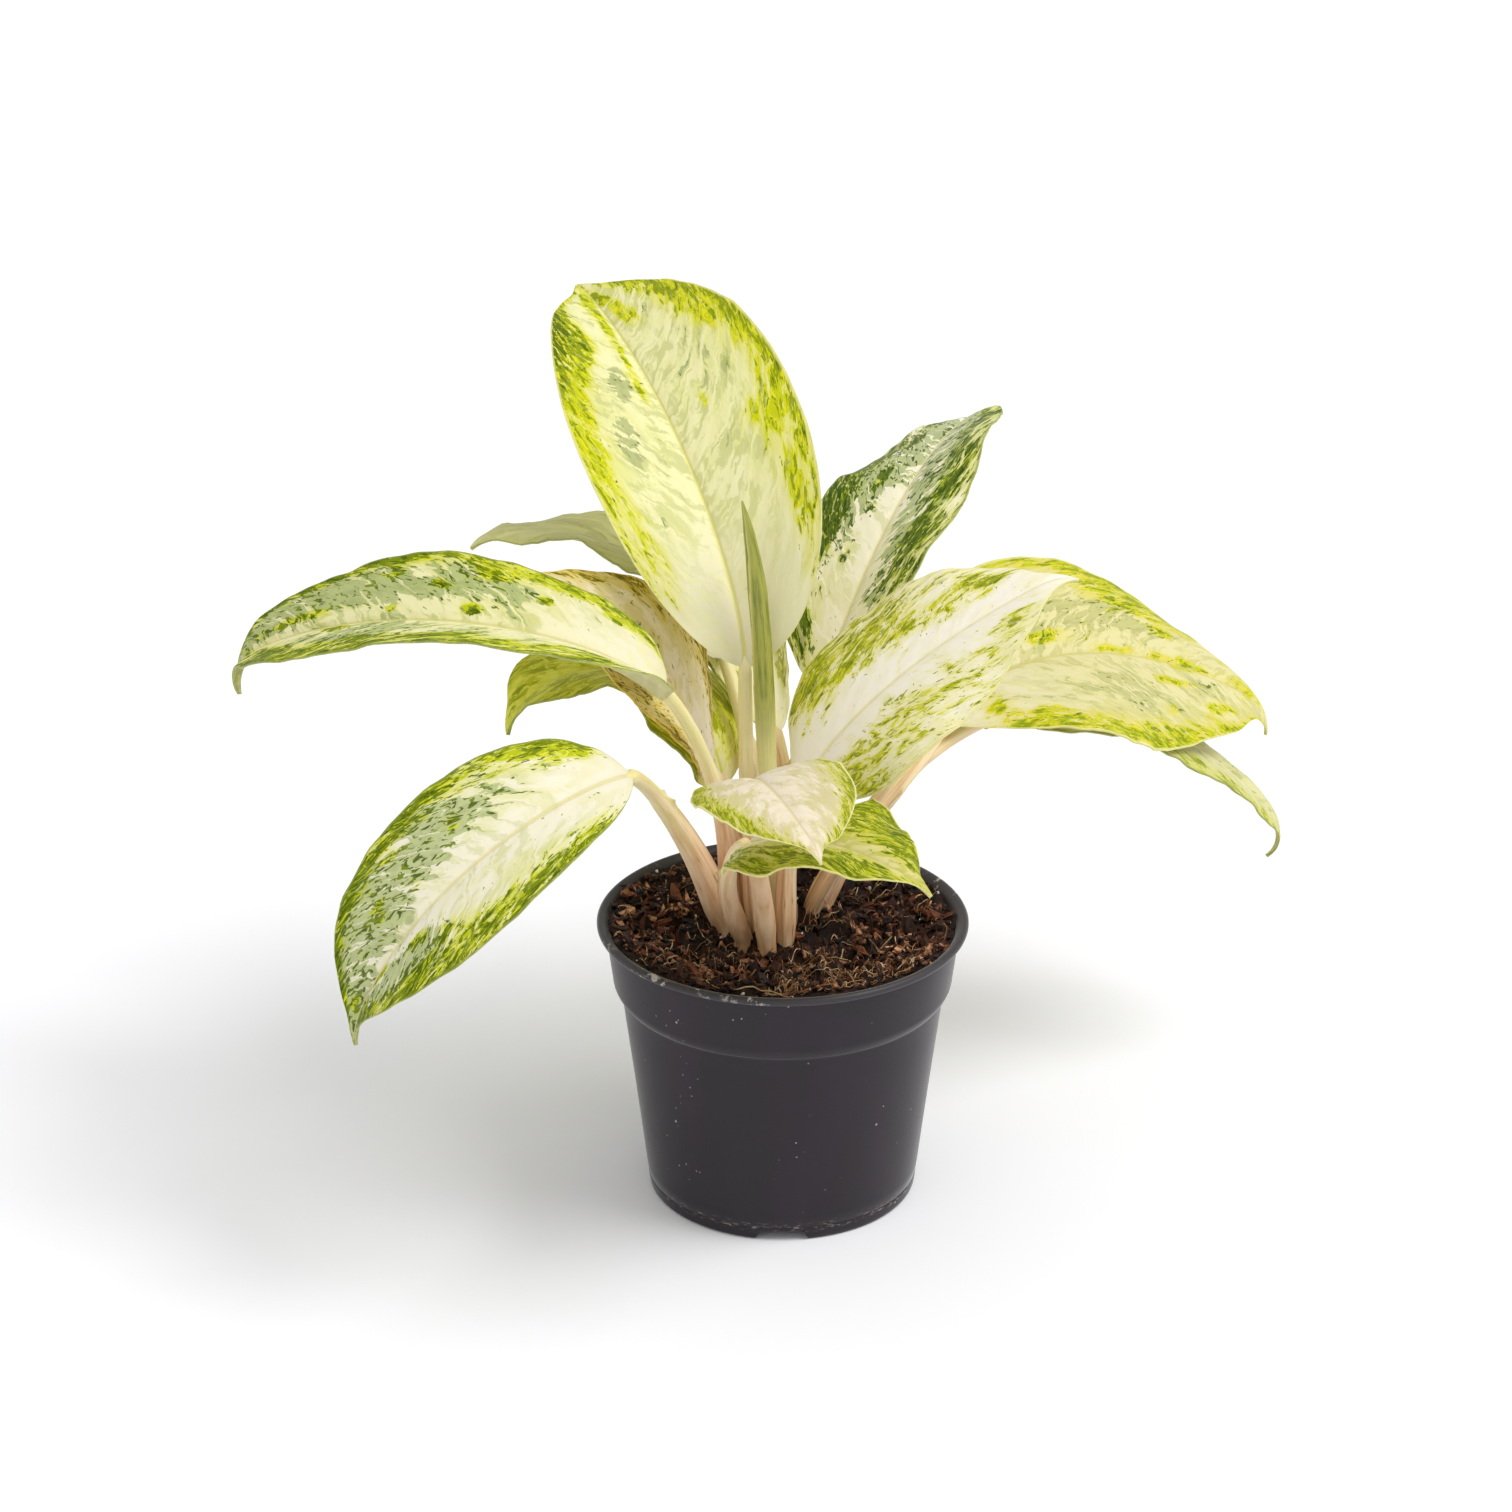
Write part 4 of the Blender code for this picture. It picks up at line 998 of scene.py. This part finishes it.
def stalk_mesh(leaf, number, settings):
    """A leaf stalk: its lower part wrapped in a sheath with thin edges, its upper part grooved."""
    path, up = stalk_path(leaf)
    soil_share = ROOT_DEPTH / np.linalg.norm(np.diff(path, axis=0), axis=1).sum()
    foot, top = leaf.stalk_radii
    sheath_end = settings.sheath_share + leaf.sheath_more
    edge_height = settings.sheath_edge / MM

    def radius_at(share, angle):
        t = above_soil(share, soil_share)
        turn = wrapped(angle)
        in_sheath = 1 - ease(t, sheath_end - 0.03, sheath_end + 0.02)
        wing = np.exp(-(((np.abs(turn) - SHEATH_EDGE_TURN) / 0.16) ** 2))
        tooth = 2.2 * np.exp(-(((t - sheath_end + 0.035) / 0.02) ** 2))
        radius = foot + (top - foot) * t
        radius = radius + wing * in_sheath * edge_height * (ease(t, 0.02, 0.25) + tooth)
        radius = radius + in_sheath * settings.sheath_swell * foot * (1 - t) ** 1.5
        groove = np.exp(-((turn / 0.5) ** 2))
        radius = radius * (1 - groove * 0.14 * ease(t, 0.05, 0.3))
        radius = radius * (1 - 0.22 * np.exp(-((share / soil_share - 1) / 0.25) ** 2))
        return radius * (1 - 0.55 * ease(share, 0.955, 1.0))

    def edges_at(share, angle):
        beyond = np.abs(wrapped(angle)) - SHEATH_EDGE_TURN
        ended = ease(above_soil(share, soil_share), sheath_end - 0.03, sheath_end)
        return np.exp(-((beyond / 0.13) ** 2)) * (1 - ended)

    return tube_mesh(f"{leaf.name}_stalk", path, up, radius_at, edges_at, number * 3.7, STALK_SIDES)


def new_leaf_mesh():
    """The rolled leaf: a spear whose edge winds slowly round it."""
    share = np.linspace(0, 1, 90)
    sway = 0.565 * share**0.7 + 0.435 * share**6
    x = NEW_LEAF_ROOT[0] + NEW_LEAF_LEAN[0] * sway
    y = NEW_LEAF_ROOT[1] + NEW_LEAF_LEAN[1] * share**4
    above = np.stack([x, y, SOIL_TOP + NEW_LEAF_HEIGHT * share], -1)
    path = np.vstack([foot_in_soil(NEW_LEAF_ROOT), above])
    soil_share = ROOT_DEPTH / (ROOT_DEPTH + NEW_LEAF_HEIGHT)

    def spiral(share, angle):
        return (angle - 2.6 + share * 2.2) % (2 * np.pi) / (2 * np.pi)

    def radius_at(share, angle):
        t = above_soil(share, soil_share)
        radius = np.interp(t, NEW_LEAF_SHARES, NEW_LEAF_RADII)
        rolled = ease(t, 0.3, 0.45) * (1 - ease(t, 0.95, 1.0))
        step = (spiral(share, angle) - 0.5) * 0.7 * rolled
        return radius + step * radius / 3.3

    def edges_at(share, angle):
        return ease(spiral(share, angle), 0.93, 0.985) * ease(above_soil(share, soil_share), 0.32, 0.42)

    return tube_mesh("new_leaf", path, (0, -1, 0), radius_at, edges_at, 50.0, NEW_LEAF_SIDES)


# The pot and the soil


POT_OUTSIDE = (
    (58.3, 95.0), (58.8, 95.1), (59.3, 94.95), (59.75, 94.6), (60.0, 94.1), (60.0, 93.5), (59.8, 93.0),
    (59.3, 92.7), (58.2, 92.5), (57.5, 92.2), (57.2, 91.7), (57.1, 91.2), (56.2, 84.0), (55.05, 75.2),
    (55.0, 74.6), (54.85, 73.8), (54.45, 72.8), (53.9, 71.8), (53.3, 71.05), (52.75, 70.6), (52.35, 70.15),
    (52.15, 69.4), (51.4, 63.0), (50.0, 52.0), (48.7, 42.0), (46.6, 25.0), (44.7, 9.0), (44.15, 4.95),
    (43.95, 4.75), (43.95, 4.5), (44.1, 4.3), (43.85, 1.7), (43.7, 1.0), (43.4, 0.45), (42.9, 0.1),
    (42.4, 0.0), (41.0, 0.0), (40.7, 0.3), (39.8, 3.5), (39.4, 3.6), (27.8, 3.6), (27.4, 3.5), (26.2, 0.2),
    (25.8, 0.0), (0.0, 0.0),
)
POT_INSIDE = (
    (0.0, 1.5), (25.2, 1.5), (26.8, 5.1), (41.2, 5.1), (42.4, 6.2), (47.2, 42.3), (50.6, 70.8), (52.2, 72.4),
    (53.3, 75.2), (55.4, 90.5), (55.6, 91.6), (56.0, 92.9), (56.7, 94.0), (57.5, 94.7),
)
NOTCHES = 3
NOTCH_HEIGHT = 3.6
NOTCH_HALF_WIDTH = 8.8  # at the floor
NOTCH_SLOPE = 0.55  # how much narrower each half gets for each millimetre up
NOTCH_INNER, NOTCH_OUTER = 38.5, 48.0
DRAINS = 6
DRAIN_RADIUS = 4.0
DRAIN_RING_RADIUS = 33.6


def turned(name, profile, steps):
    """A profile of (radius, height) turned round the pot's axis, as an object that isn't shown yet."""
    mesh = bpy.data.meshes.new(name)
    points = [(radius * MM, 0, height * MM) for radius, height in profile]
    mesh.from_pydata(points, [(i, i + 1) for i in range(len(points) - 1)], [])
    made = put(name, mesh)
    screw = made.modifiers.new("turn", "SCREW")
    screw.steps = screw.render_steps = steps
    screw.use_merge_vertices = True
    screw.merge_threshold = 0.00001
    return made


def finished_mesh(made):
    """The mesh that an object's modifiers give, with the object taken away again."""
    graph = bpy.context.evaluated_depsgraph_get()
    mesh = bpy.data.meshes.new_from_object(made.evaluated_get(graph))
    bpy.data.objects.remove(made)
    return mesh


def cutter(name, fill, turn):
    """An object for a Boolean to cut with, filled by a function that takes a bmesh and a turn in radians."""
    shape = bmesh.new()
    fill(shape, turn)
    mesh = bpy.data.meshes.new(name)
    shape.to_mesh(mesh)
    shape.free()
    return put(name, mesh)


def fill_notch(shape, turn):
    """A drainage notch through the foot ring, with sloped ends."""
    bmesh.ops.create_cube(shape, size=1.0)
    for corner in shape.verts:
        height = NOTCH_HEIGHT if corner.co.z > 0 else -1.0
        half = NOTCH_HALF_WIDTH - NOTCH_SLOPE * height
        x = half if corner.co.x > 0 else -half
        y = -NOTCH_INNER if corner.co.y > 0 else -NOTCH_OUTER
        place = Vector((x * MM, y * MM, height * MM))
        turned_x = place.x * np.cos(turn) - place.y * np.sin(turn)
        turned_y = place.x * np.sin(turn) + place.y * np.cos(turn)
        corner.co = (turned_x, turned_y, place.z)


def fill_drain(shape, turn):
    """A round drainage hole in the floor of the ring channel."""
    radius = DRAIN_RADIUS * MM
    bmesh.ops.create_cone(shape, cap_ends=True, segments=32, radius1=radius, radius2=radius, depth=10 * MM)
    away = DRAIN_RING_RADIUS * MM
    middle = (away * np.cos(turn), away * np.sin(turn), 4 * MM)
    bmesh.ops.translate(shape, verts=shape.verts, vec=middle)


def pot_mesh(steps):
    """The pot: lip, rim band, tapered body, foot ring with notches, and drain holes."""
    pot = turned("pot_shell", POT_INSIDE + POT_OUTSIDE, steps)
    cutters = [cutter(f"notch_{i}", fill_notch, i * 2 * np.pi / NOTCHES) for i in range(NOTCHES)]
    cutters += [cutter(f"drain_{i}", fill_drain, (2 * i + 1) * np.pi / DRAINS) for i in range(DRAINS)]
    for other in cutters:
        boolean = pot.modifiers.new(other.name, "BOOLEAN")
        boolean.solver = "EXACT"
        boolean.object = other
    mesh = finished_mesh(pot)
    for other in cutters:
        bpy.data.objects.remove(other)
    mesh.polygons.foreach_set("use_smooth", [True] * len(mesh.polygons))
    mesh.set_sharp_from_angle(angle=np.radians(POT_SMOOTH_ANGLE))
    return mesh


def soil_height(x, y, lumps):
    """Height of the soil's lumpy surface, which is heaped round the stalks and up the pot's wall."""
    spot = Vector((x / 8, y / 8, 3.0))
    clumps = noise.fractal(spot, 0.7, 2.1, 5, noise_basis="BLENDER")
    crumbs = noise.noise(Vector((x / 1.7, y / 1.7, 9.0)))
    mound = 1.6 * np.exp(-((np.hypot(x + 6, y - 4) / 22) ** 2))
    away = np.hypot(x, y)
    front_left = 0.5 - 0.35 * (x + y) / max(away, 1.0)
    bank = (3.2 + 1.7 * front_left) * ease(away, 38, 54)
    flatter = 1 - 0.6 * ease(away, 46, 55)
    return SOIL_TOP - 1.9 + lumps * (clumps * 1.35 + crumbs * 0.3) * flatter + mound + bank


def ring(radius, segments):
    """Places round the pot's axis."""
    turns = [2 * np.pi * k / segments for k in range(segments)]
    return [(radius * np.cos(turn), radius * np.sin(turn)) for turn in turns]


def soil_mesh(lumps):
    """The soil as one closed body with a finely lumped top."""
    rings, segments = 84, 220
    points = [(0, 0, soil_height(0, 0, lumps))]
    for radius in SOIL_RADIUS * np.linspace(0, 1, rings)[1:] ** 0.9:
        sunk = 0.4 * ease(radius, 55.0, SOIL_RADIUS)
        points += [(x, y, soil_height(x, y, lumps) - sunk) for x, y in ring(radius, segments)]
    for radius, height in SOIL_SIDE:
        points += [(x, y, height) for x, y in ring(radius, segments)]
    last = len(points) - segments
    points.append((0, 0, SOIL_FLOOR))
    ends = [(k, (k + 1) % segments) for k in range(segments)]
    faces = [(0, 1 + a, 1 + b) for a, b in ends]
    faces += moved_faces(grid_faces(rings - 1 + len(SOIL_SIDE), segments, closed=True), 1)
    faces += [(last + a, len(points) - 1, last + b) for a, b in ends]
    mesh = new_mesh("soil_bed", points, faces)
    shades = [noise.noise(Vector((x / 5, y / 5, 1.0))) * 0.5 + 0.42 for x, y, _ in points]
    store(mesh, "crumb", [(shade, 0.2, 0.0) for shade in shades])
    return mesh


def on_soil(draw, far, piles=()):
    """A random place on the soil away from the stalks' feet. Where piles are given, most lie in them."""
    while True:
        if piles and draw.uniform(0, 1) < SHARE_IN_PILES:
            pile = piles[draw.integers(len(piles))]
            x, y = draw.normal(pile[:2], pile[2])
        else:
            radius, angle = np.sqrt(draw.uniform(0, far**2)), draw.uniform(0, 2 * np.pi)
            x, y = radius * np.cos(angle), radius * np.sin(angle)
        clear = all(np.hypot(x - leaf.root[0], y - leaf.root[1]) > STALK_CLEARANCE for leaf in LEAVES)
        if clear and np.hypot(x, y) < far:
            return x, y


def lump_template():
    """The points and faces of a round lump with few faces."""
    shape = bmesh.new()
    bmesh.ops.create_icosphere(shape, subdivisions=1, radius=1.0)
    points = np.array([corner.co for corner in shape.verts])
    faces = [tuple(corner.index for corner in face.verts) for face in shape.faces]
    shape.free()
    return points, faces


@dataclass
class Grains:
    """A layer of loose grains. Lengths, breadths and heights are ranges, as shares of a grain's size."""

    name: str
    count: int
    sizes: tuple
    lengths: tuple
    breadths: tuple
    heights: tuple
    lifted: float  # how high a grain's middle lies above the soil, as a share of its size
    shades: tuple
    piles: tuple = ()


def grain_mesh(grains, lumps, draw):
    """Many jagged grains on the soil, as one mesh."""
    base, base_faces = lump_template()
    points, stored = [], []
    for _ in range(grains.count):
        x, y = on_soil(draw, CRUMB_REACH, grains.piles)
        size = grains.sizes[0] + (grains.sizes[1] - grains.sizes[0]) * draw.uniform(0, 1) ** 2.2
        bent = base * (1 + draw.normal(0, 0.25, (len(base), 1)))
        shape = [draw.uniform(*span) for span in (grains.lengths, grains.breadths, grains.heights)]
        bent = bent * shape * size
        bend = draw.normal(0, 0.25)
        bent[:, 2] += bend * bent[:, 0] ** 2 / size
        turn, tilt, roll = draw.uniform(0, 2 * np.pi), draw.normal(0, 0.5), draw.normal(0, 0.5)
        spun = bent @ np.array(Euler((roll, tilt, turn)).to_matrix()).T
        points.append(spun + (x, y, soil_height(x, y, lumps) + size * grains.lifted))
        stored.append(np.tile((draw.uniform(*grains.shades), draw.uniform(0, 1), 0.0), (len(base), 1)))
    faces = [face for i in range(grains.count) for face in moved_faces(base_faces, i * len(base))]
    mesh = new_mesh(grains.name, np.concatenate(points), faces, smooth=False)
    store(mesh, "crumb", np.concatenate(stored))
    return mesh


@dataclass
class Fibres:
    """A layer of loose fibres. Lengths and radii are ranges in millimetres."""

    name: str
    count: int
    lengths: tuple
    radii: tuple
    arch: float  # how high the most arched fibre rises
    piles: tuple = ()


def fibre_line(x, y, way, bend, length, arch, lumps):
    """A bent line across the soil that stays inside the pot."""
    steps = 9
    line = []
    for i in range(steps):
        line.append((x, y, soil_height(x, y, lumps) + 0.4 + arch * np.sin(np.pi * i / (steps - 1))))
        way += bend / steps
        x, y = x + np.cos(way) * length / steps, y + np.sin(way) * length / steps
        away = np.hypot(x, y)
        if away > FIBRE_END_REACH:
            x, y = x * FIBRE_END_REACH / away, y * FIBRE_END_REACH / away
    return np.array(line)


def fibre_mesh(fibres, lumps, draw):
    """Thin bent fibres that lie across the soil, as one mesh."""
    sides = 4
    angles = np.linspace(0, 2 * np.pi, sides, endpoint=False)[:, None]
    points, faces, stored = [], [], []
    for number in range(fibres.count):
        x, y = on_soil(draw, FIBRE_REACH, fibres.piles)
        way = draw.uniform(0, 2 * np.pi)
        length = draw.uniform(*fibres.lengths)
        bend = draw.normal(0, 1.6)
        arch = draw.uniform(0.1, 1.0) * fibres.arch
        radius = draw.uniform(*fibres.radii)
        line = fibre_line(x, y, way, bend, length, arch, lumps)
        _, ups, rights = tube_frames(line, (0.1, 0.2, 1.0))
        taper = 1 - 0.5 * np.linspace(0, 1, len(line)) ** 2
        around = ups[:, None] * np.cos(angles) + rights[:, None] * np.sin(angles)
        points.append((line[:, None] + around * (radius * taper)[:, None, None]).reshape(-1, 3))
        faces += moved_faces(tube_faces(len(line), sides), number * len(line) * sides)
        stored.append(np.tile((draw.uniform(0, 1), 0.2, 0.0), (len(line) * sides, 1)))
    mesh = new_mesh(fibres.name, np.concatenate(points), faces)
    store(mesh, "crumb", np.concatenate(stored))
    return mesh


# Settings, operators and panel


class PotSettings(bpy.types.PropertyGroup):
    steps: IntProperty(name="Steps", description="Facets round the pot", default=144, min=24, max=256)
    colour: FloatVectorProperty(
        name="Plastic", description="Colour of the moulded plastic", size=3, subtype="COLOR",
        default=picked(25, 15, 27)[:3], min=0.0, max=1.0)


class SoilSettings(bpy.types.PropertyGroup):
    lumps: FloatProperty(
        name="Lumps", description="Height of the soil's lumps", unit="LENGTH",
        default=0.0026, min=0.0, max=0.006)
    crumbs: IntProperty(name="Crumbs", description="Number of loose crumbs", default=2200, min=3, max=2400)
    grit: IntProperty(name="Grit", description="Number of white grains", default=110, min=1, max=400)
    fibres: IntProperty(name="Fibres", description="Number of loose fibres", default=120, min=1, max=300)


class LeafSettings(bpy.types.PropertyGroup):
    row_spacing: FloatProperty(
        name="Row Spacing", description="Distance between the rows of a blade's mesh", unit="LENGTH",
        default=0.0019, min=0.001, max=0.006)
    columns: IntProperty(
        name="Columns", description="Columns in each half of a blade's mesh", default=17, min=6, max=40)
    thickness: FloatProperty(
        name="Thickness", description="Thickness of a blade", unit="LENGTH",
        default=0.0006, min=0.0004, max=0.0015)
    vein_spacing: FloatProperty(
        name="Vein Spacing", description="Distance between side veins", unit="LENGTH",
        default=0.01, min=0.004, max=0.03)
    quilting: FloatProperty(
        name="Quilting", description="Height of the swelling between side veins", unit="LENGTH",
        default=0.00012, min=0.0, max=0.001)
    ripple: FloatProperty(
        name="Ripple", description="Height of the small ripples along the margin", unit="LENGTH",
        default=0.0009, min=0.0, max=0.003)
    sheath_share: FloatProperty(
        name="Sheath", description="Share of a stalk that its sheath covers", subtype="FACTOR",
        default=0.62, min=0.1, max=0.9)
    sheath_swell: FloatProperty(
        name="Sheath Swell", description="How much broader a sheath gets towards the soil", subtype="FACTOR",
        default=0.42, min=0.0, max=1.0)
    sheath_edge: FloatProperty(
        name="Sheath Edge", description="Height of the sheath's thin edges", unit="LENGTH",
        default=0.00055, min=0.0, max=0.002)


class StageSettings(bpy.types.PropertyGroup):
    key: FloatProperty(
        name="Key Light", description="Strength of the main soft light", default=1.7, min=0.0, max=20.0)
    front: FloatProperty(
        name="Front Light", description="Strength of the weaker light from the front", default=0.2,
        min=0.0, max=20.0)
    softness: FloatProperty(
        name="Softness", description="How wide the main light looks from the plant", subtype="ANGLE",
        default=np.radians(32.0), min=0.0, max=np.pi / 2)
    room: FloatProperty(
        name="Room Light", description="Strength of the light from all round", default=0.67, min=0.0, max=4.0)


class EVERGREEN_OT_stage(bpy.types.Operator):
    """Sets the camera, the soft lights and the pale floor"""

    bl_idname = "evergreen.stage"
    bl_label = "Stage"

    def execute(self, context):
        settings = context.scene.evergreen_stage
        context.scene.camera = self.camera()
        context.scene.world = self.room(settings.room)
        context.scene.view_settings.view_transform = "Standard"
        self.lamp("key_light", KEY_FROM, settings.key, settings.softness)
        self.lamp("front_light", FRONT_FROM, settings.front, settings.softness * 2)
        self.floor()
        return {"FINISHED"}

    def camera(self):
        data = bpy.data.cameras.new("camera")
        data.sensor_width = SENSOR_WIDTH
        data.lens = LENS
        data.clip_end = FLOOR_REACH * 4
        camera = put("camera", data)
        camera.location = CAMERA_PLACE
        camera.rotation_euler = np.radians(CAMERA_TURN)
        return camera

    def lamp(self, name, from_where, strength, softness):
        """A soft light from far away, in the direction of a point that it shines from."""
        light = bpy.data.lights.new(name, "SUN")
        light.energy = strength
        light.angle = softness
        put(name, light).rotation_euler = Vector(from_where).to_track_quat("Z", "Y").to_euler()

    def room(self, strength):
        """Even white light from all round."""
        world = bpy.data.worlds.new("studio")
        world.use_nodes = True
        background = world.node_tree.nodes["Background"].inputs
        background["Color"].default_value = (1, 1, 1, 1)
        background["Strength"].default_value = strength
        return world

    def floor(self):
        mesh = bpy.data.meshes.new("floor")
        corners = [(x * FLOOR_REACH, y * FLOOR_REACH, 0) for x, y in ((-1, -1), (1, -1), (1, 1), (-1, 1))]
        mesh.from_pydata(corners, [], [(0, 1, 2, 3)])
        mesh.materials.append(plain_paint("floor_card", FLOOR_WHITE, 0.9))
        return put("floor", mesh)


class EVERGREEN_OT_pot(bpy.types.Operator):
    """Makes the nursery pot"""

    bl_idname = "evergreen.pot"
    bl_label = "Pot"

    def execute(self, context):
        settings = context.scene.evergreen_pot
        show("pot_shell", pot_mesh(settings.steps), pot_paint(tuple(settings.colour)), "pot")
        return {"FINISHED"}


class EVERGREEN_OT_soil(bpy.types.Operator):
    """Makes the soil with its crumbs, bark, white grit and fibres"""

    bl_idname = "evergreen.soil"
    bl_label = "Soil"

    def execute(self, context):
        settings = context.scene.evergreen_soil
        lumps = settings.lumps / MM
        draw = np.random.default_rng(11)
        crumbs = Grains(
            "soil_crumbs", settings.crumbs, sizes=(0.3, 1.9), lengths=(0.7, 1.7), breadths=(0.5, 1.0),
            heights=(0.4, 0.9), lifted=0.2, shades=(0.0, 0.8))
        chips = Grains(
            "bark_chips", settings.crumbs * 2 // 3, sizes=(0.35, 2.1), lengths=(1.1, 2.4),
            breadths=(0.4, 0.9), heights=(0.2, 0.45), lifted=0.5, shades=(0.0, 0.9), piles=RUSTY_PILES)
        grit = Grains(
            "white_grit", settings.grit, sizes=(0.2, 0.75), lengths=(0.8, 1.2), breadths=(0.7, 1.0),
            heights=(0.6, 0.95), lifted=0.9, shades=(0.0, 1.0))
        coir = Fibres("coir", settings.fibres * 8, (2.0, 9.0), (0.08, 0.24), 1.8, COIR_PILES)
        straw = Fibres("fibres", settings.fibres, (7.0, 24.0), (0.09, 0.24), 2.2)
        show("soil_bed", soil_mesh(lumps), soil_paint("peat", PEAT), "soil")
        show("soil_crumbs", grain_mesh(crumbs, lumps, draw), soil_paint("crumbs", PEAT))
        show("bark_chips", grain_mesh(chips, lumps, draw), soil_paint("bark", BARK))
        show("white_grit", grain_mesh(grit, lumps, draw), soil_paint("grit", GRIT, 0.0002))
        show("coir", fibre_mesh(coir, lumps, draw), soil_paint("coir", COIR, 0.0001))
        show("fibres", fibre_mesh(straw, lumps, draw), soil_paint("straw", STRAW, 0.0001))
        return {"FINISHED"}


class EVERGREEN_OT_stalks(bpy.types.Operator):
    """Makes the thirteen leaf stalks with their sheaths"""

    bl_idname = "evergreen.stalks"
    bl_label = "Leaf Stalks"

    def execute(self, context):
        settings = context.scene.evergreen_leaves
        skin = stalk_paint()
        for number, leaf in enumerate(LEAVES):
            mesh = stalk_mesh(leaf, number, settings)
            show(f"{leaf.name}_sheathed_stalk", mesh, skin, f"{leaf.name}_stalk")
        return {"FINISHED"}


class EVERGREEN_OT_new_leaf(bpy.types.Operator):
    """Makes the new leaf that is still rolled up"""

    bl_idname = "evergreen.new_leaf"
    bl_label = "New Leaf"

    def execute(self, context):
        show("rolled_new_leaf", new_leaf_mesh(), new_leaf_paint(), "new_leaf")
        return {"FINISHED"}


class EVERGREEN_OT_blades(bpy.types.Operator):
    """Makes the thirteen marbled leaf blades"""

    bl_idname = "evergreen.blades"
    bl_label = "Leaf Blades"

    def execute(self, context):
        settings = context.scene.evergreen_leaves
        draw = np.random.default_rng(5)
        for number, leaf in enumerate(LEAVES):
            marbling = MARBLINGS[leaf.name]
            mesh = blade_mesh(leaf, marbling, settings, draw)
            paint = leaf_paint(leaf, marbling, number * 11.3)
            show(f"{leaf.name}_marbled_blade", mesh, paint, f"{leaf.name}_blade")
        return {"FINISHED"}


class EVERGREEN_PT_panel(bpy.types.Panel):
    """Lists the pieces and their settings"""

    bl_idname = "EVERGREEN_PT_panel"
    bl_label = "Potted Chinese Evergreen"
    bl_space_type = "VIEW_3D"
    bl_region_type = "UI"
    bl_category = "Evergreen"

    def draw(self, context):
        for group in SETTINGS.values():
            settings = getattr(context.scene, group)
            box = self.layout.box()
            for name in settings.__annotations__:
                box.prop(settings, name)
        for operator in OPERATORS:
            self.layout.operator(operator.bl_idname)


SETTINGS = {
    PotSettings: "evergreen_pot",
    SoilSettings: "evergreen_soil",
    LeafSettings: "evergreen_leaves",
    StageSettings: "evergreen_stage",
}
OPERATORS = (
    EVERGREEN_OT_stage,
    EVERGREEN_OT_pot,
    EVERGREEN_OT_soil,
    EVERGREEN_OT_stalks,
    EVERGREEN_OT_new_leaf,
    EVERGREEN_OT_blades,
)


def register():
    for group, name in SETTINGS.items():
        bpy.utils.register_class(group)
        setattr(bpy.types.Scene, name, PointerProperty(type=group))
    for operator in OPERATORS:
        bpy.utils.register_class(operator)
    bpy.utils.register_class(EVERGREEN_PT_panel)


def unregister():
    bpy.utils.unregister_class(EVERGREEN_PT_panel)
    for operator in reversed(OPERATORS):
        bpy.utils.unregister_class(operator)
    for group, name in SETTINGS.items():
        delattr(bpy.types.Scene, name)
        bpy.utils.unregister_class(group)


def main():
    register()
    bpy.ops.evergreen.stage()
    bpy.ops.evergreen.pot()
    bpy.ops.evergreen.soil()
    bpy.ops.evergreen.stalks()
    bpy.ops.evergreen.new_leaf()
    bpy.ops.evergreen.blades()


if __name__ == "__main__":
    main()
